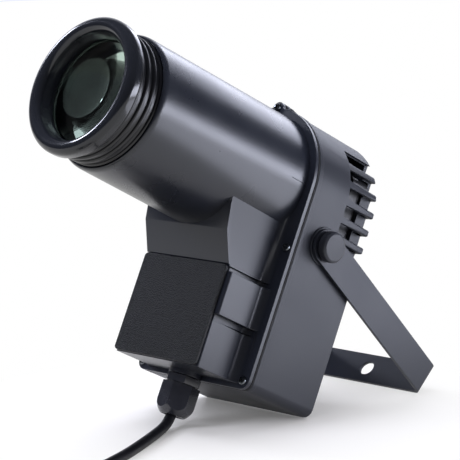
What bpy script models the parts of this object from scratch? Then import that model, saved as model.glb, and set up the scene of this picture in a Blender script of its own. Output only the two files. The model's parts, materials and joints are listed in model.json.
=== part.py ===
"""LED pinspot light on its mounting bracket, with its power cord.

Units are metres, +Z is up.  The barrel points towards -Y and is tilted up,
+X is the side of the lamp that carries the first clamp knob.
The head is modelled in its own frame: s to the side, a forward along the
barrel from the seam of the housing, d down from the barrel's axis.
"""

import bpy
import bmesh
import numpy as np
from math import acos, asin, atan2, cos, degrees, pi, radians, sin, sqrt
from mathutils import Matrix, Vector

MM = 0.001

# Fits
GAP = 0.3 * MM
THREAD_GAP = 0.4 * MM

# How the lamp stands
HEAD_TILT = radians(26.4)

# Barrel of the front shell
BARREL_RADIUS = 45.0 * MM
BARREL_LENGTH = 135.0 * MM
BARREL_TAPER = 1.3 * MM
BARREL_WALL = 3.3 * MM
BARREL_SIDES = 32
MOUTH_RADIUS = BARREL_RADIUS - BARREL_TAPER
MOUTH_DROP = 1.7 * MM
MOUTH_CURVE = 4.0 * MM
BARREL_BORE = BARREL_RADIUS - BARREL_WALL
COLLAR_BORE = BARREL_BORE - 3.7 * MM
COLLAR_LENGTH = 14.0 * MM

# Housing outline, shared by the two shells and the gasket
HOUSING_HALF = BARREL_RADIUS + 5.0 * MM
HOUSING_BOTTOM = 131.8 * MM
HOUSING_CORNER = 6.0 * MM
ARCH_STEPS = 24
SEAM = 0.8 * MM
GASKET = 1.0 * MM
GASKET_WIDTH = 3.0 * MM
FLANGE = 3.0 * MM
EDGE_ROUND = 1.0 * MM

# Block under the barrel
BLOCK_BOTTOM = HOUSING_BOTTOM - 3.0 * MM
BLOCK_FACE = 36.6 * MM
BLOCK_WALL = 3.0 * MM
UPPER_HALF = 36.9 * MM
MIDDLE_HALF = UPPER_HALF + 3.3 * MM
LOWER_HALF = UPPER_HALF + 0.2 * MM
GROOVE_DEPTH = 1.5 * MM
UPPER_END = 65.1 * MM
MIDDLE_START = 68.0 * MM
MIDDLE_END = 95.0 * MM
LOWER_START = 98.9 * MM
FILLET = 5.5 * MM
CORNER_ROUND = 1.5 * MM

# Side view of the sloping brow over the front panel, as (a, d)
BROW = ((52.7 * MM, 20.0 * MM), (51.6 * MM, 28.7 * MM), (48.1 * MM, 45.4 * MM), (38.0 * MM, 63.8 * MM))

# Grained panel on the front of the block
PANEL_THICKNESS = 2.0 * MM
PANEL_MARGIN = 0.5 * MM
PANEL_CORNER = 3.0 * MM

# Rear shell
REAR_DEPTH = 59.3 * MM
REAR_HALF = HOUSING_HALF - 0.7 * MM
REAR_WALL = 2.5 * MM
BACK_WALL = 3.0 * MM
RIM_WIDTH = 3.7 * MM

# Vent slots with the fins left between them
FIN_PITCH = 11.8 * MM
SLOT_HEIGHT = 7.4 * MM
SLOT_COUNT = 6
SLOT_FIRST = -32.8 * MM
SLOT_START = 32.0 * MM
SLOT_DEPTH = 6.4 * MM
GRILLE_SLOT = 5.6 * MM
GRILLE_RADIUS = 36.0 * MM
GRILLE_BAR = 4.0 * MM
GRILLE_ROWS = 8

# Fan in its moulded pocket
FAN_SIZE = 80.0 * MM
FAN_THICKNESS = 15.0 * MM
FAN_CORNER = 5.0 * MM
FAN_DROP = 16.3 * MM
FAN_BORE = FAN_SIZE / 2 - 2.0 * MM
FAN_TIP_GAP = 0.8 * MM
FAN_HUB = 17.0 * MM
FAN_BLADES = 7
BLADE_ROOT = 13.6 * MM
BLADE_THICKNESS = 1.3 * MM
BLADE_PITCH = radians(35)
POCKET_WALL = 3.0 * MM
POCKET_DEPTH = 9.0 * MM
FAN_HOLE_SPACING = FAN_SIZE - 8.5 * MM

# Pivot of the bracket, and its clamp knobs
PIVOT_A = -22.6 * MM
PIVOT_D = 29.5 * MM
PIVOT_BOSS = 12.0 * MM
PIVOT_BOSS_HEIGHT = 1.2 * MM
PIVOT_POST = 7.0 * MM
PIVOT_POST_LENGTH = 11.3 * MM
STUD_RADIUS = 2.4 * MM
INSERT_RADIUS = 4.4 * MM
INSERT_LENGTH = 10.5 * MM
WASHER_RADIUS = 6.5 * MM
WASHER_THICKNESS = 0.8 * MM
KNOB_RADIUS = 9.8 * MM
KNOB_THICKNESS = 6.0 * MM
KNOB_FACE = 2.0 * MM

# Bracket
BAR_WIDTH = 21.8 * MM
BAR_THICKNESS = 2.2 * MM
BAR_BEND = 4.0 * MM
ARM_LENGTH = 137.6 * MM
BOLT_HOLE = 5.2 * MM

# Screws, with the places of the housing's five as (s, d)
SCREW_SHAFT = 1.4 * MM
SCREW_HEAD = 2.7 * MM
SCREW_HEAD_HEIGHT = 1.8 * MM
SCREW_EDGE_HEIGHT = 0.7 * MM
SCREW_CROWN = (1.9 * MM, 1.6 * MM)
SCREW_LENGTH = 12.0 * MM
SMALL_SIDES = 10
SCREW_BOSS = 4.0 * MM
TOP_BOSS_LENGTH = 8.0 * MM
LUG = 4.3 * MM
TOP_SCREW = (0.0, -HOUSING_HALF + 0.4 * MM)
SIDE_SCREW = (HOUSING_HALF - 3.8 * MM, 40.2 * MM)
BOTTOM_SCREW = (HOUSING_HALF - 4.6 * MM, HOUSING_BOTTOM - 5.2 * MM)

# Lens bezel, measured forward from the seam
BEZEL_REAR = BARREL_LENGTH + 18.2 * MM
BEZEL_FRONT = BEZEL_REAR + 9.2 * MM
BEZEL_RADIUS = MOUTH_RADIUS
BEZEL_MOUTH = BEZEL_RADIUS - 9.5 * MM

# Lens in its threaded focusing tube
TUBE_LENGTH = 48.2 * MM
TUBE_REAR = BEZEL_REAR - TUBE_LENGTH
TUBE_CREST = BARREL_BORE - GAP
TUBE_CORE = TUBE_CREST - 1.4 * MM
TUBE_BORE = TUBE_CORE - 3.6 * MM
THREAD_PITCH = 5.4 * MM
THREAD_FIRST = BEZEL_REAR - 1.8 * MM
THREAD_TURNS = 4
THREAD_FLAT = 1.3 * MM
THREAD_SLOPE = 0.7 * MM
NECK_RADIUS = TUBE_CORE - 3.0 * MM
NECK_LENGTH = 1.8 * MM
LENS_RADIUS = TUBE_BORE - 2.4 * MM
LENS_EDGE = 3.4 * MM
LENS_CROWN = 4.2 * MM
LENS_LAP = 1.2 * MM
LENS_SEAT = BEZEL_REAR - 7.2 * MM
SEAL_GROOVE = 3.6 * MM
SEAL_WIRE = 1.1 * MM
SEAL_PLACE = TUBE_REAR + 4.5 * MM

# Light engine
SINK_RADIUS = BARREL_RADIUS - 0.3 * MM
SINK_BASE = 4.0 * MM
SINK_FIN_LENGTH = 28.0 * MM
SINK_FIN_THICKNESS = 1.6 * MM
SINK_FINS = 9
SINK_HALF = 31.0 * MM
SINK_SCREW_RADIUS = BARREL_RADIUS - 3.2 * MM
SINK_SCREW_ANGLES = (30, 150, 270)
BOARD_RADIUS = 16.0 * MM
BOARD_THICKNESS = 1.6 * MM
EMITTER_RADIUS = 4.0 * MM
EMITTER_HEIGHT = 3.2 * MM
OPTIC_RADIUS = 19.4 * MM
OPTIC_START = 7.0 * MM
OPTIC_LENGTH = 15.0 * MM
HOLDER_WALL = 2.0 * MM
HOLDER_FLANGE = 2.0 * MM

# Driver electronics behind the front panel
DRIVER_WIDTH = 58.0 * MM
DRIVER_TOP = 58.0 * MM
DRIVER_BOTTOM = 112.0 * MM
DRIVER_POST = 4.0 * MM
POST_RADIUS = 2.6 * MM
POST_INSET = 5.0 * MM
TRANSFORMER = (26.0 * MM, 15.0 * MM, 22.0 * MM)
CAPACITOR_RADIUS = 5.0 * MM
CAPACITOR_HEIGHT = 14.0 * MM

# Control panel at the rear
CONTROL_D = 74.0 * MM
CONTROL_WIDTH = 82.0 * MM
CONTROL_HEIGHT = 24.0 * MM
CONTROL_PLATE = 1.5 * MM
CONTROL_LAP = 5.5 * MM
PANEL_WINDOW = (30.0 * MM, 11.0 * MM)
WINDOW_S = -20.0 * MM
BUTTON_NAMES = ("menu_button", "down_button", "up_button", "enter_button")
BUTTON_RADIUS = 3.2 * MM
BUTTON_LIP = 0.8 * MM
BUTTON_PITCH = 9.0 * MM
BUTTON_FIRST = 3.5 * MM
BUTTON_PROUD = 1.4 * MM
BUTTON_TRAVEL = 0.6 * MM

# Signal sockets
SOCKET_D = 106.5 * MM
SOCKET_S = 20.0 * MM
SOCKET_FLANGE = (26.0 * MM, 31.0 * MM, 2.0 * MM)
SOCKET_RADIUS = 11.5 * MM
SOCKET_DEPTH = 16.0 * MM
SOCKET_CUP = 9.0 * MM
CUP_DEPTH = 12.0 * MM
PIN_CIRCLE = 5.0 * MM
PIN_RADIUS = 1.2 * MM
PIN_LENGTH = 9.0 * MM
PIN_BASE = 1.5 * MM

# Cable gland under the block
GLAND_A = 8.5 * MM
GLAND_PAD = 10.5 * MM
GLAND_THREAD = 6.3 * MM
GLAND_NECK = 8.0 * MM
GLAND_HEX = 12.0 * MM
GLAND_COLLAR = 5.0 * MM
GLAND_NECK_LENGTH = 8.0 * MM
NUT_HEX_LENGTH = 11.5 * MM
NUT_DOME_LENGTH = 8.4 * MM
NUT_TIP = 7.8 * MM
NUT_WALL = 0.6 * MM
SEAL_WALL = 1.7 * MM
LOCKNUT_HEX = 9.5 * MM
LOCKNUT_THICKNESS = 4.4 * MM
HEX_TURN = radians(40)

# Power cord: where it lies in the gland, then on the floor
CORD = 6.5 * MM
CORD_INNER_END = 14.2 * MM
CORD_IN_GLAND = (0.0, 10.0 * MM, 20.0 * MM, 27.7 * MM)
ROUTE_STEPS = 2

# Coil of stored cord, with its ties
COIL_CENTRE = (8.0 * MM, 280.0 * MM)
COIL_RADIUS = 45.0 * MM
COIL_PITCH = 7.0 * MM
COIL_TURNS = 5.2
COIL_POINTS = 24
COIL_START = radians(18)
CLIMB_TURNS = 0.5
TIE_THICKNESS = 1.0 * MM
TIE_WIDTH = 12.0 * MM
TIE_ANGLES = (radians(175), radians(280))

# Plug at the end of the cord
PLUG_WIDTH = 26.0 * MM
PLUG_LENGTH = 38.0 * MM
PLUG_RELIEF = 24.0 * MM
PLUG_NECK = 4.0 * MM
PLUG_FACE = 1.5 * MM
BLADE_LENGTH = 17.0 * MM
BLADE_SECTION = (6.4 * MM, 1.5 * MM)
BLADE_SPACING = 12.7 * MM
EARTH_RADIUS = 2.4 * MM
EARTH_LENGTH = 20.0 * MM

# Route of the loose cord from the gland to the coil: to the side, forward, up
CORD_ROUTE = (
    (0.6 * MM, 76.1 * MM, 11.6 * MM), (2.4 * MM, 81.0 * MM, 7.1 * MM), (5.1 * MM, 86.6 * MM, 4.3 * MM),
    (8.6 * MM, 92.4 * MM, 3.4 * MM), (12.6 * MM, 98.7 * MM, 3.3 * MM), (18.4 * MM, 108.2 * MM, 3.3 * MM),
    (25.2 * MM, 120.0 * MM, 3.3 * MM), (33.6 * MM, 135.3 * MM, 3.3 * MM), (41.0 * MM, 149.6 * MM, 3.3 * MM),
    (47.8 * MM, 164.6 * MM, 3.3 * MM), (53.9 * MM, 180.0 * MM, 3.3 * MM), (59.1 * MM, 196.0 * MM, 3.3 * MM),
    (63.3 * MM, 212.2 * MM, 3.3 * MM), (65.9 * MM, 228.6 * MM, 3.4 * MM), (66.2 * MM, 245.0 * MM, 3.7 * MM),
    (63.9 * MM, 261.0 * MM, 4.1 * MM),
)


def srgb(code):
    """Linear colour from a six-digit colour code."""
    parts = [int(code[i:i + 2], 16) / 255 for i in (0, 2, 4)]
    return [c / 12.92 if c <= 0.04045 else ((c + 0.055) / 1.055) ** 2.4 for c in parts] + [1.0]


def material(name, code, roughness, metallic=0.0, transmission=0.0):
    mat = bpy.data.materials.new(name)
    mat.use_nodes = True
    shader = mat.node_tree.nodes["Principled BSDF"]
    shader.inputs["Base Color"].default_value = srgb(code)
    shader.inputs["Roughness"].default_value = roughness
    shader.inputs["Metallic"].default_value = metallic
    shader.inputs["Transmission Weight"].default_value = transmission
    mat.diffuse_color = srgb(code)
    return mat


for old in list(bpy.data.objects):
    bpy.data.objects.remove(old, do_unlink=True)

PARTS = bpy.data.collections.new("led_pinspot_light")
CUTTERS = bpy.data.collections.new("cutters")
bpy.context.scene.collection.children.link(PARTS)
bpy.context.scene.collection.children.link(CUTTERS)

SATIN_BLACK = material("satin black plastic", "2b2d32", 0.42)
GRAINED_BLACK = material("leather-grained black plastic", "202326", 0.7)
GLOSS_BLACK = material("gloss black plastic", "17191c", 0.2)
PAINTED_STEEL = material("black powder-coated steel", "303238", 0.5)
ZINC = material("zinc-plated steel", "b8bcc0", 0.3, 1.0)
BRASS = material("brass", "b08d4a", 0.35, 1.0)
ALUMINIUM = material("aluminium", "a7aaad", 0.4, 1.0)
GLASS = material("lens glass", "cfe3d8", 0.03, 0.0, 0.9)
CLEAR_PLASTIC = material("clear plastic", "dfe6ea", 0.08, 0.0, 0.9)
RUBBER = material("black rubber", "141516", 0.8)
BOARD_GREEN = material("circuit board", "1f5a36", 0.5)
BOARD_WHITE = material("white aluminium board", "e4e6e4", 0.4)
EMITTER = material("emitter phosphor", "e8c65a", 0.4)
WINDING = material("transformer tape", "c9a227", 0.5)
SLEEVE = material("capacitor sleeve", "20304a", 0.4)
SMOKE = material("smoked display window", "3a0f10", 0.1, 0.0, 0.5)
CORD_PVC = material("black cord sheath", "141416", 0.55)

# Local axes of a piece, as Euler angles in the head's frame
FORWARD = (radians(90), 0.0, 0.0)
DOWNWARD = (radians(180), 0.0, 0.0)
SIDEWAYS = (0.0, radians(90), 0.0)
BACKWARD = (radians(-90), 0.0, 0.0)
PROFILE = tuple(Matrix(((0, 0, 1), (-1, 0, 0), (0, -1, 0))).to_euler())


def head(s, a, d):
    """A point of the head's frame, as a location under the head's empty."""
    return Vector((s, -a, -d))


def add_object(name, data, place=(0, 0, 0), turn=(0, 0, 0), parent=None, mat=None):
    """Link an object; without a material it is a cutter or a piece to be joined."""
    obj = bpy.data.objects.new(name, data)
    obj.location = place
    obj.rotation_euler = turn
    obj.parent = parent
    if mat is None:
        CUTTERS.objects.link(obj)
        obj.hide_render = True
        obj.display_type = "WIRE"
    else:
        PARTS.objects.link(obj)
        data.materials.append(mat)
    return obj


def turned(name, profile, place=(0, 0, 0), turn=(0, 0, 0), parent=None, mat=None, sides=32, closed=False):
    """A turned piece: the profile (radius, height) runs down its outer side."""
    mesh = bpy.data.meshes.new(name)
    count = len(profile)
    edges = [(i, i + 1) for i in range(count - 1)] + ([(count - 1, 0)] if closed else [])
    mesh.from_pydata([(r, 0.0, h) for r, h in profile], edges, [])
    obj = add_object(name, mesh, place, turn, parent, mat)
    screw = obj.modifiers.new("Turn", "SCREW")
    screw.axis = "Z"
    screw.steps = sides
    screw.render_steps = sides
    screw.use_merge_vertices = True
    screw.merge_threshold = 0.00001
    if not closed:
        flat = obj.modifiers.new("Whole end faces", "DECIMATE")
        flat.decimate_type = "DISSOLVE"
        flat.angle_limit = radians(0.1)
    return obj


def as_mesh(curve_object, mat):
    """Replace a curve object by its welded mesh, in the same place and under the same parent."""
    bpy.context.view_layer.update()
    graph = bpy.context.evaluated_depsgraph_get()
    mesh = bpy.data.meshes.new_from_object(curve_object.evaluated_get(graph))
    work = bmesh.new()
    work.from_mesh(mesh)
    bmesh.ops.remove_doubles(work, verts=work.verts, dist=0.000002)
    bmesh.ops.dissolve_limit(work, angle_limit=radians(0.1), verts=work.verts, edges=work.edges)
    work.to_mesh(mesh)
    work.free()
    name = curve_object.name
    place, turn, parent = (curve_object.location.copy(), curve_object.rotation_euler.copy(),
                           curve_object.parent)
    bpy.data.objects.remove(curve_object, do_unlink=True)
    mesh.materials.clear()
    return add_object(name, mesh, place, turn, parent, mat)


def slab(name, loops, thickness, place=(0, 0, 0), turn=(0, 0, 0), parent=None, mat=None):
    """A flat outline, with any holes, drawn in XY and given its thickness along Z."""
    curve = bpy.data.curves.new(name, "CURVE")
    curve.dimensions = "2D"
    curve.fill_mode = "BOTH"
    curve.extrude = thickness / 2
    for loop in loops:
        spline = curve.splines.new("POLY")
        spline.points.add(len(loop) - 1)
        for point, (x, y) in zip(spline.points, loop):
            point.co = (x, y, 0.0, 1.0)
        spline.use_cyclic_u = True
    return as_mesh(add_object(name + "_outline", curve, place, turn, parent), mat)


def rename(obj, name):
    obj.name = name
    obj.data.name = name
    return obj


def box(name, size, place=(0, 0, 0), turn=(0, 0, 0), parent=None, mat=None, rounding=0.0):
    """A box of the size given, centred on its place, with rounded edges if asked."""
    mesh = bpy.data.meshes.new(name)
    work = bmesh.new()
    bmesh.ops.create_cube(work, size=1.0, matrix=Matrix.Diagonal((*size, 1.0)))
    work.to_mesh(mesh)
    work.free()
    obj = add_object(name, mesh, place, turn, parent, mat)
    if rounding:
        bevel(obj, rounding)
    return obj


def rod(name, radius, length, place=(0, 0, 0), turn=(0, 0, 0), parent=None, mat=None, sides=24):
    """A round rod along its own Z, centred on its place."""
    mesh = bpy.data.meshes.new(name)
    work = bmesh.new()
    bmesh.ops.create_cone(work, cap_ends=True, segments=sides, radius1=radius, radius2=radius, depth=length)
    work.to_mesh(mesh)
    work.free()
    return add_object(name, mesh, place, turn, parent, mat)


def bevel(obj, width, segments=2):
    mod = obj.modifiers.new("Bevel", "BEVEL")
    mod.width = width
    mod.segments = segments
    mod.limit_method = "ANGLE"
    mod.angle_limit = radians(40)


def combine(target, tools, operation):
    """Boolean each tool into the target; the tools stay as hidden guides."""
    for tool in tools:
        mod = target.modifiers.new(operation.title(), "BOOLEAN")
        mod.operation = operation
        mod.solver = "EXACT"
        mod.object = tool


def cut(target, *tools):
    combine(target, tools, "DIFFERENCE")


def join(target, *tools):
    combine(target, tools, "UNION")


def empty(name, place, turn, parent=None):
    obj = bpy.data.objects.new(name, None)
    obj.location = place
    obj.rotation_euler = turn
    obj.parent = parent
    PARTS.objects.link(obj)
    return obj


def arc(centre, radius, start, end, steps):
    """Points along an arc, both ends included, angles in degrees."""
    angles = [radians(start + (end - start) * i / steps) for i in range(steps + 1)]
    return [(centre[0] + radius * cos(t), centre[1] + radius * sin(t)) for t in angles]


def circle(radius, sides, centre=(0.0, 0.0), phase=0.0):
    return [(centre[0] + radius * cos(phase + 2 * pi * i / sides),
             centre[1] + radius * sin(phase + 2 * pi * i / sides)) for i in range(sides)]


def rounded_rectangle(width, height, corner, centre=(0.0, 0.0), steps=4):
    x, y = width / 2 - corner, height / 2 - corner
    loop = []
    for sx, sy, start in ((1, 1, 0), (-1, 1, 90), (-1, -1, 180), (1, -1, 270)):
        loop += arc((centre[0] + sx * x, centre[1] + sy * y), corner, start, start + 90, steps)
    return loop


def housing_outline(half, bottom, corner, lug=0.0):
    """Arch over straight sides; x to the side and y up from the barrel's axis."""
    loop = arc((half - corner, -bottom + corner), corner, -90, 0, 4)
    if lug:
        lug_y = -TOP_SCREW[1]
        meet_y = (half ** 2 + lug_y ** 2 - lug ** 2) / (2 * lug_y)
        meet_x = sqrt(half ** 2 - meet_y ** 2)
        meet = degrees(atan2(meet_y, meet_x))
        lug_meet = degrees(atan2(meet_y - lug_y, meet_x))
        loop += arc((0, 0), half, 0, meet, ARCH_STEPS // 2)
        loop += arc((0, lug_y), lug, lug_meet, 180 - lug_meet, 8)[1:-1]
        loop += arc((0, 0), half, 180 - meet, 180, ARCH_STEPS // 2)
    else:
        loop += arc((0, 0), half, 0, 180, ARCH_STEPS)
    return loop + arc((-half + corner, -bottom + corner), corner, 180, 270, 4)


def full_outline():
    """The housing's outline with the lug for the top screw."""
    return housing_outline(HOUSING_HALF, HOUSING_BOTTOM, HOUSING_CORNER, LUG)


def screw_places():
    """The five housing screws, as (s, d)."""
    pairs = [(side * s, d) for s, d in (SIDE_SCREW, BOTTOM_SCREW) for side in (1, -1)]
    return [TOP_SCREW] + pairs


def sink_screw_places():
    """The heat sink's screws, as (s, d)."""
    return [(SINK_SCREW_RADIUS * cos(radians(angle)), SINK_SCREW_RADIUS * sin(radians(angle)))
            for angle in SINK_SCREW_ANGLES]


def driver_corners():
    """Where the driver board is held, as (s, d)."""
    s = DRIVER_WIDTH / 2 - POST_INSET
    return [(side * s, d) for d in (DRIVER_TOP + POST_INSET, DRIVER_BOTTOM - POST_INSET) for side in (1, -1)]


def forward_rod(name, radius, start, end, s, d, mat=None, sides=24):
    """A rod along the barrel's direction, from a to a, at (s, d)."""
    return rod(name, radius, end - start, head(s, (start + end) / 2, d), FORWARD, HEAD, mat, sides)


def forward_slab(name, loops, start, end, mat=None, d=0.0, s=0.0):
    """A flat outline facing forward, from a to a."""
    return slab(name, loops, end - start, head(s, (start + end) / 2, d), FORWARD, HEAD, mat)


def housing_screw_holes(radius, start, end):
    return [forward_rod("screw_hole", radius, start, end, s, d, sides=SMALL_SIDES) for s, d in screw_places()]


def block_outline(half, front):
    """Plan of a layer of the block in (s, a), with fillets where it meets the flange."""
    face = SEAM + FLANGE
    right = [(half + FILLET, face - FLANGE / 2)]
    right += arc((half + FILLET, face + FILLET), FILLET, 270, 180, 4)
    right += arc((half - CORNER_ROUND, front - CORNER_ROUND), CORNER_ROUND, 0, 90, 3)
    return right + [(-s, a) for s, a in reversed(right)]


def block_layer(name, half, front, top, bottom):
    return slab(name, [block_outline(half, front)], bottom - top, head(0, 0, (top + bottom) / 2), DOWNWARD, HEAD)


# How high the head stands: its rounded lower rear edge touches the floor
EDGE_REACH = EDGE_ROUND * cos(HEAD_TILT - radians(45))
HEAD_HEIGHT = ((REAR_DEPTH - EDGE_ROUND) * sin(HEAD_TILT)
               + (HOUSING_BOTTOM - EDGE_ROUND) * cos(HEAD_TILT) + EDGE_REACH)
PIVOT_FORWARD = PIVOT_A * cos(HEAD_TILT) + PIVOT_D * sin(HEAD_TILT)
PIVOT_HEIGHT = PIVOT_A * sin(HEAD_TILT) - PIVOT_D * cos(HEAD_TILT) + HEAD_HEIGHT

# The bracket leans back until its lower edge touches the same floor
BAR_HALF = BAR_WIDTH / 2
BRACKET_LEAN = asin(PIVOT_HEIGHT / sqrt(ARM_LENGTH ** 2 + BAR_HALF ** 2)) - atan2(BAR_HALF, ARM_LENGTH)

# The origin is below the middle of the lamp, so the head's place follows from both ends
BEZEL_CROWN = (BEZEL_RADIUS - BEZEL_MOUTH) / 2
FRONT_REACH = ((BEZEL_FRONT - BEZEL_CROWN) * cos(HEAD_TILT)
               + (BEZEL_RADIUS - BEZEL_CROWN) * sin(HEAD_TILT) + BEZEL_CROWN)
REAR_REACH = PIVOT_FORWARD - ARM_LENGTH * cos(BRACKET_LEAN) - BAR_HALF * sin(BRACKET_LEAN)
MIDDLE = (FRONT_REACH + REAR_REACH) / 2

HEAD = empty("head_frame", (0, MIDDLE, HEAD_HEIGHT), (-HEAD_TILT, 0, 0))


def wedge_space():
    """The room in front of the sloping brow, cut from the upper layer of the block."""
    top_a, top_d = BROW[0]
    low_d = (UPPER_END + MIDDLE_START) / 2
    ahead = top_a + BLOCK_WALL
    outline = [*BROW, (BLOCK_FACE, BROW[-1][1]), (BLOCK_FACE, low_d), (ahead, low_d),
               (ahead, top_d - BLOCK_WALL), (top_a, top_d - BLOCK_WALL)]
    return slab("wedge_space", [outline], 3 * UPPER_HALF, turn=PROFILE, parent=HEAD)


def gland_pad():
    """Round boss under the block for the cable gland, level with the flange's lower edge."""
    height = HOUSING_BOTTOM - BLOCK_BOTTOM + BLOCK_WALL / 2
    pad = rod("gland_pad", GLAND_PAD, height, head(0, GLAND_A, HOUSING_BOTTOM - height / 2), DOWNWARD, HEAD, sides=32)
    behind = box("behind_seam", (3 * GLAND_PAD, 2 * GLAND_PAD, 3 * height),
                 head(0, SEAM - GLAND_PAD, HOUSING_BOTTOM), parent=HEAD)
    cut(pad, behind)
    return pad


def front_shell():
    """Barrel, block and flange moulded in one piece, hollow, open at the seam."""
    mouth = [(MOUTH_RADIUS - MOUTH_DROP * (1 - cos(t)), BARREL_LENGTH - MOUTH_CURVE * (1 - sin(t)))
             for t in [radians(90 - 22.5 * i) for i in range(5)]]
    barrel = turned("front_shell", [(0, BARREL_LENGTH), *mouth, (BARREL_RADIUS, SEAM), (0, SEAM)],
                    turn=FORWARD, parent=HEAD, mat=SATIN_BLACK, sides=BARREL_SIDES)
    upper = block_layer("upper_layer", UPPER_HALF, BROW[0][0], BROW[0][1], UPPER_END)
    cut(upper, wedge_space())
    core = block_layer("block_core", UPPER_HALF - GROOVE_DEPTH, BLOCK_FACE - GROOVE_DEPTH,
                       UPPER_END - GROOVE_DEPTH, BLOCK_BOTTOM - GROOVE_DEPTH)
    middle = block_layer("middle_layer", MIDDLE_HALF, BLOCK_FACE, MIDDLE_START, MIDDLE_END)
    lower = block_layer("lower_layer", LOWER_HALF, BLOCK_FACE, LOWER_START, BLOCK_BOTTOM)
    flange = forward_slab("flange", [full_outline()], SEAM, SEAM + FLANGE)
    join(barrel, upper, core, middle, lower, flange, gland_pad())
    bore = turned("barrel_bore", [
        (0, BARREL_LENGTH + BARREL_WALL), (BARREL_BORE, BARREL_LENGTH + BARREL_WALL), (BARREL_BORE, COLLAR_LENGTH),
        (COLLAR_BORE, COLLAR_LENGTH), (COLLAR_BORE, -BARREL_WALL), (0, -BARREL_WALL)],
        turn=FORWARD, parent=HEAD, sides=BARREL_SIDES)
    top = BARREL_RADIUS + BLOCK_WALL
    bottom = BLOCK_BOTTOM - BLOCK_WALL
    front = BLOCK_FACE - BLOCK_WALL
    half = UPPER_HALF - GROOVE_DEPTH - BLOCK_WALL
    cavity = box("block_cavity", (2 * half, front + BLOCK_WALL, bottom - top),
                 head(0, (front - BLOCK_WALL) / 2, (top + bottom) / 2), parent=HEAD)
    gland_hole = rod("gland_hole", GLAND_THREAD + GAP, 4 * BLOCK_WALL, head(0, GLAND_A, HOUSING_BOTTOM),
                     DOWNWARD, HEAD)
    sink_holes = [forward_rod("sink_screw_hole", SCREW_SHAFT + GAP, -SEAM, COLLAR_LENGTH - COLLAR_LENGTH / 3, s, d,
                              sides=SMALL_SIDES) for s, d in sink_screw_places()]
    cut(barrel, bore, cavity, gland_hole, *sink_holes, *housing_screw_holes(SCREW_SHAFT + GAP, -SEAM, 3 * FLANGE))
    join(barrel, *[forward_rod("driver_post", POST_RADIUS, front - DRIVER_POST, front + BLOCK_WALL / 2, s, d,
                               sides=SMALL_SIDES) for s, d in driver_corners()])


def front_panel():
    """Grained plate set on the block's face, under the brow."""
    top = BROW[-1][1] + PANEL_MARGIN
    bottom = BLOCK_BOTTOM - PANEL_MARGIN
    start = BLOCK_FACE + GAP
    panel = forward_slab("front_panel", [rounded_rectangle(2 * UPPER_HALF, bottom - top, PANEL_CORNER)],
                         start, start + PANEL_THICKNESS, GRAINED_BLACK, (top + bottom) / 2)
    rename(panel, "front_panel")


def seam_gasket():
    """Flat rubber seal between the two shells, wider round the screws."""
    inner = housing_outline(HOUSING_HALF - GASKET_WIDTH, HOUSING_BOTTOM - GASKET_WIDTH, HOUSING_CORNER - GASKET_WIDTH)
    seal = forward_slab("seam_gasket", [full_outline(), inner], -GASKET / 2, GASKET / 2, RUBBER)
    join(seal, *[forward_rod("gasket_pad", SCREW_BOSS, -GASKET / 2, GASKET / 2, s, d, sides=SMALL_SIDES)
                 for s, d in screw_places()[1:]])
    edge = forward_slab("gasket_edge", [full_outline()], -GASKET, GASKET)
    combine(seal, [edge], "INTERSECT")
    cut(seal, *housing_screw_holes(SCREW_SHAFT + GAP, -2 * GASKET, 2 * GASKET))
    rename(seal, "seam_gasket")


def screw(name, s, a, d, length, forward):
    """A pan-head screw whose head's underside is at a; its shaft runs back, or forward."""
    profile = [(0, SCREW_HEAD_HEIGHT), SCREW_CROWN, (SCREW_HEAD, SCREW_EDGE_HEIGHT), (SCREW_HEAD, 0),
               (SCREW_SHAFT, 0), (SCREW_SHAFT, -length), (0, -length)]
    turn = BACKWARD if forward else FORWARD
    turned(name, profile, head(s, a, d), turn, HEAD, ZINC, SMALL_SIDES)


def housing_screws():
    """Five screws that hold the shells together from the front."""
    for number, (s, d) in enumerate(screw_places(), 1):
        screw("housing_screw_%d" % number, s, SEAM + FLANGE + GAP, d, SCREW_LENGTH, False)


def slot_cutters():
    """Side slots, open to the rear, that leave the fins standing between them."""
    tools = []
    length = REAR_DEPTH - SLOT_START + BACK_WALL
    for index in range(SLOT_COUNT):
        d = SLOT_FIRST + index * FIN_PITCH
        half_here = sqrt(REAR_HALF ** 2 - d ** 2) if d < 0 else REAR_HALF
        inner = half_here - SLOT_DEPTH
        width = REAR_HALF + BACK_WALL - inner
        tools += [box("side_slot", (width, length, SLOT_HEIGHT),
                      head(side * (inner + width / 2), -SLOT_START - length / 2, d), parent=HEAD) for side in (1, -1)]
    return tools


def grille_cutters():
    """Rear slots in front of the fan, in line with the side slots, cut short by a circle."""
    tools = []
    for index in range(GRILLE_ROWS):
        d = SLOT_FIRST + index * FIN_PITCH
        reach = GRILLE_RADIUS ** 2 - (d - FAN_DROP) ** 2
        if reach > GRILLE_BAR ** 2:
            width = sqrt(reach) - GRILLE_BAR / 2
            tools += [box("grille_slot", (width, 3 * BACK_WALL, GRILLE_SLOT),
                          head(side * (GRILLE_BAR + width) / 2, -REAR_DEPTH, d), parent=HEAD) for side in (1, -1)]
    return tools


def fan_pocket(limit):
    """Square rim on the back wall that holds the fan."""
    inner = FAN_SIZE + 2 * GAP
    outer = inner + 2 * POCKET_WALL
    loops = [rounded_rectangle(outer, outer, POCKET_WALL + GAP), rounded_rectangle(inner, inner, POCKET_WALL)]
    pocket = forward_slab("fan_pocket", loops, -REAR_DEPTH + BACK_WALL / 2, -REAR_DEPTH + POCKET_DEPTH, d=FAN_DROP)
    combine(pocket, [limit], "INTERSECT")
    return pocket


def pivot_rods(name, radius, start, end, sides):
    """A rod on each side along the bracket's pivot, from s to s."""
    return [rod(name, radius, end - start, head(side * (start + end) / 2, PIVOT_A, PIVOT_D), SIDEWAYS, HEAD,
                sides=sides) for side in (1, -1)]


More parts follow.
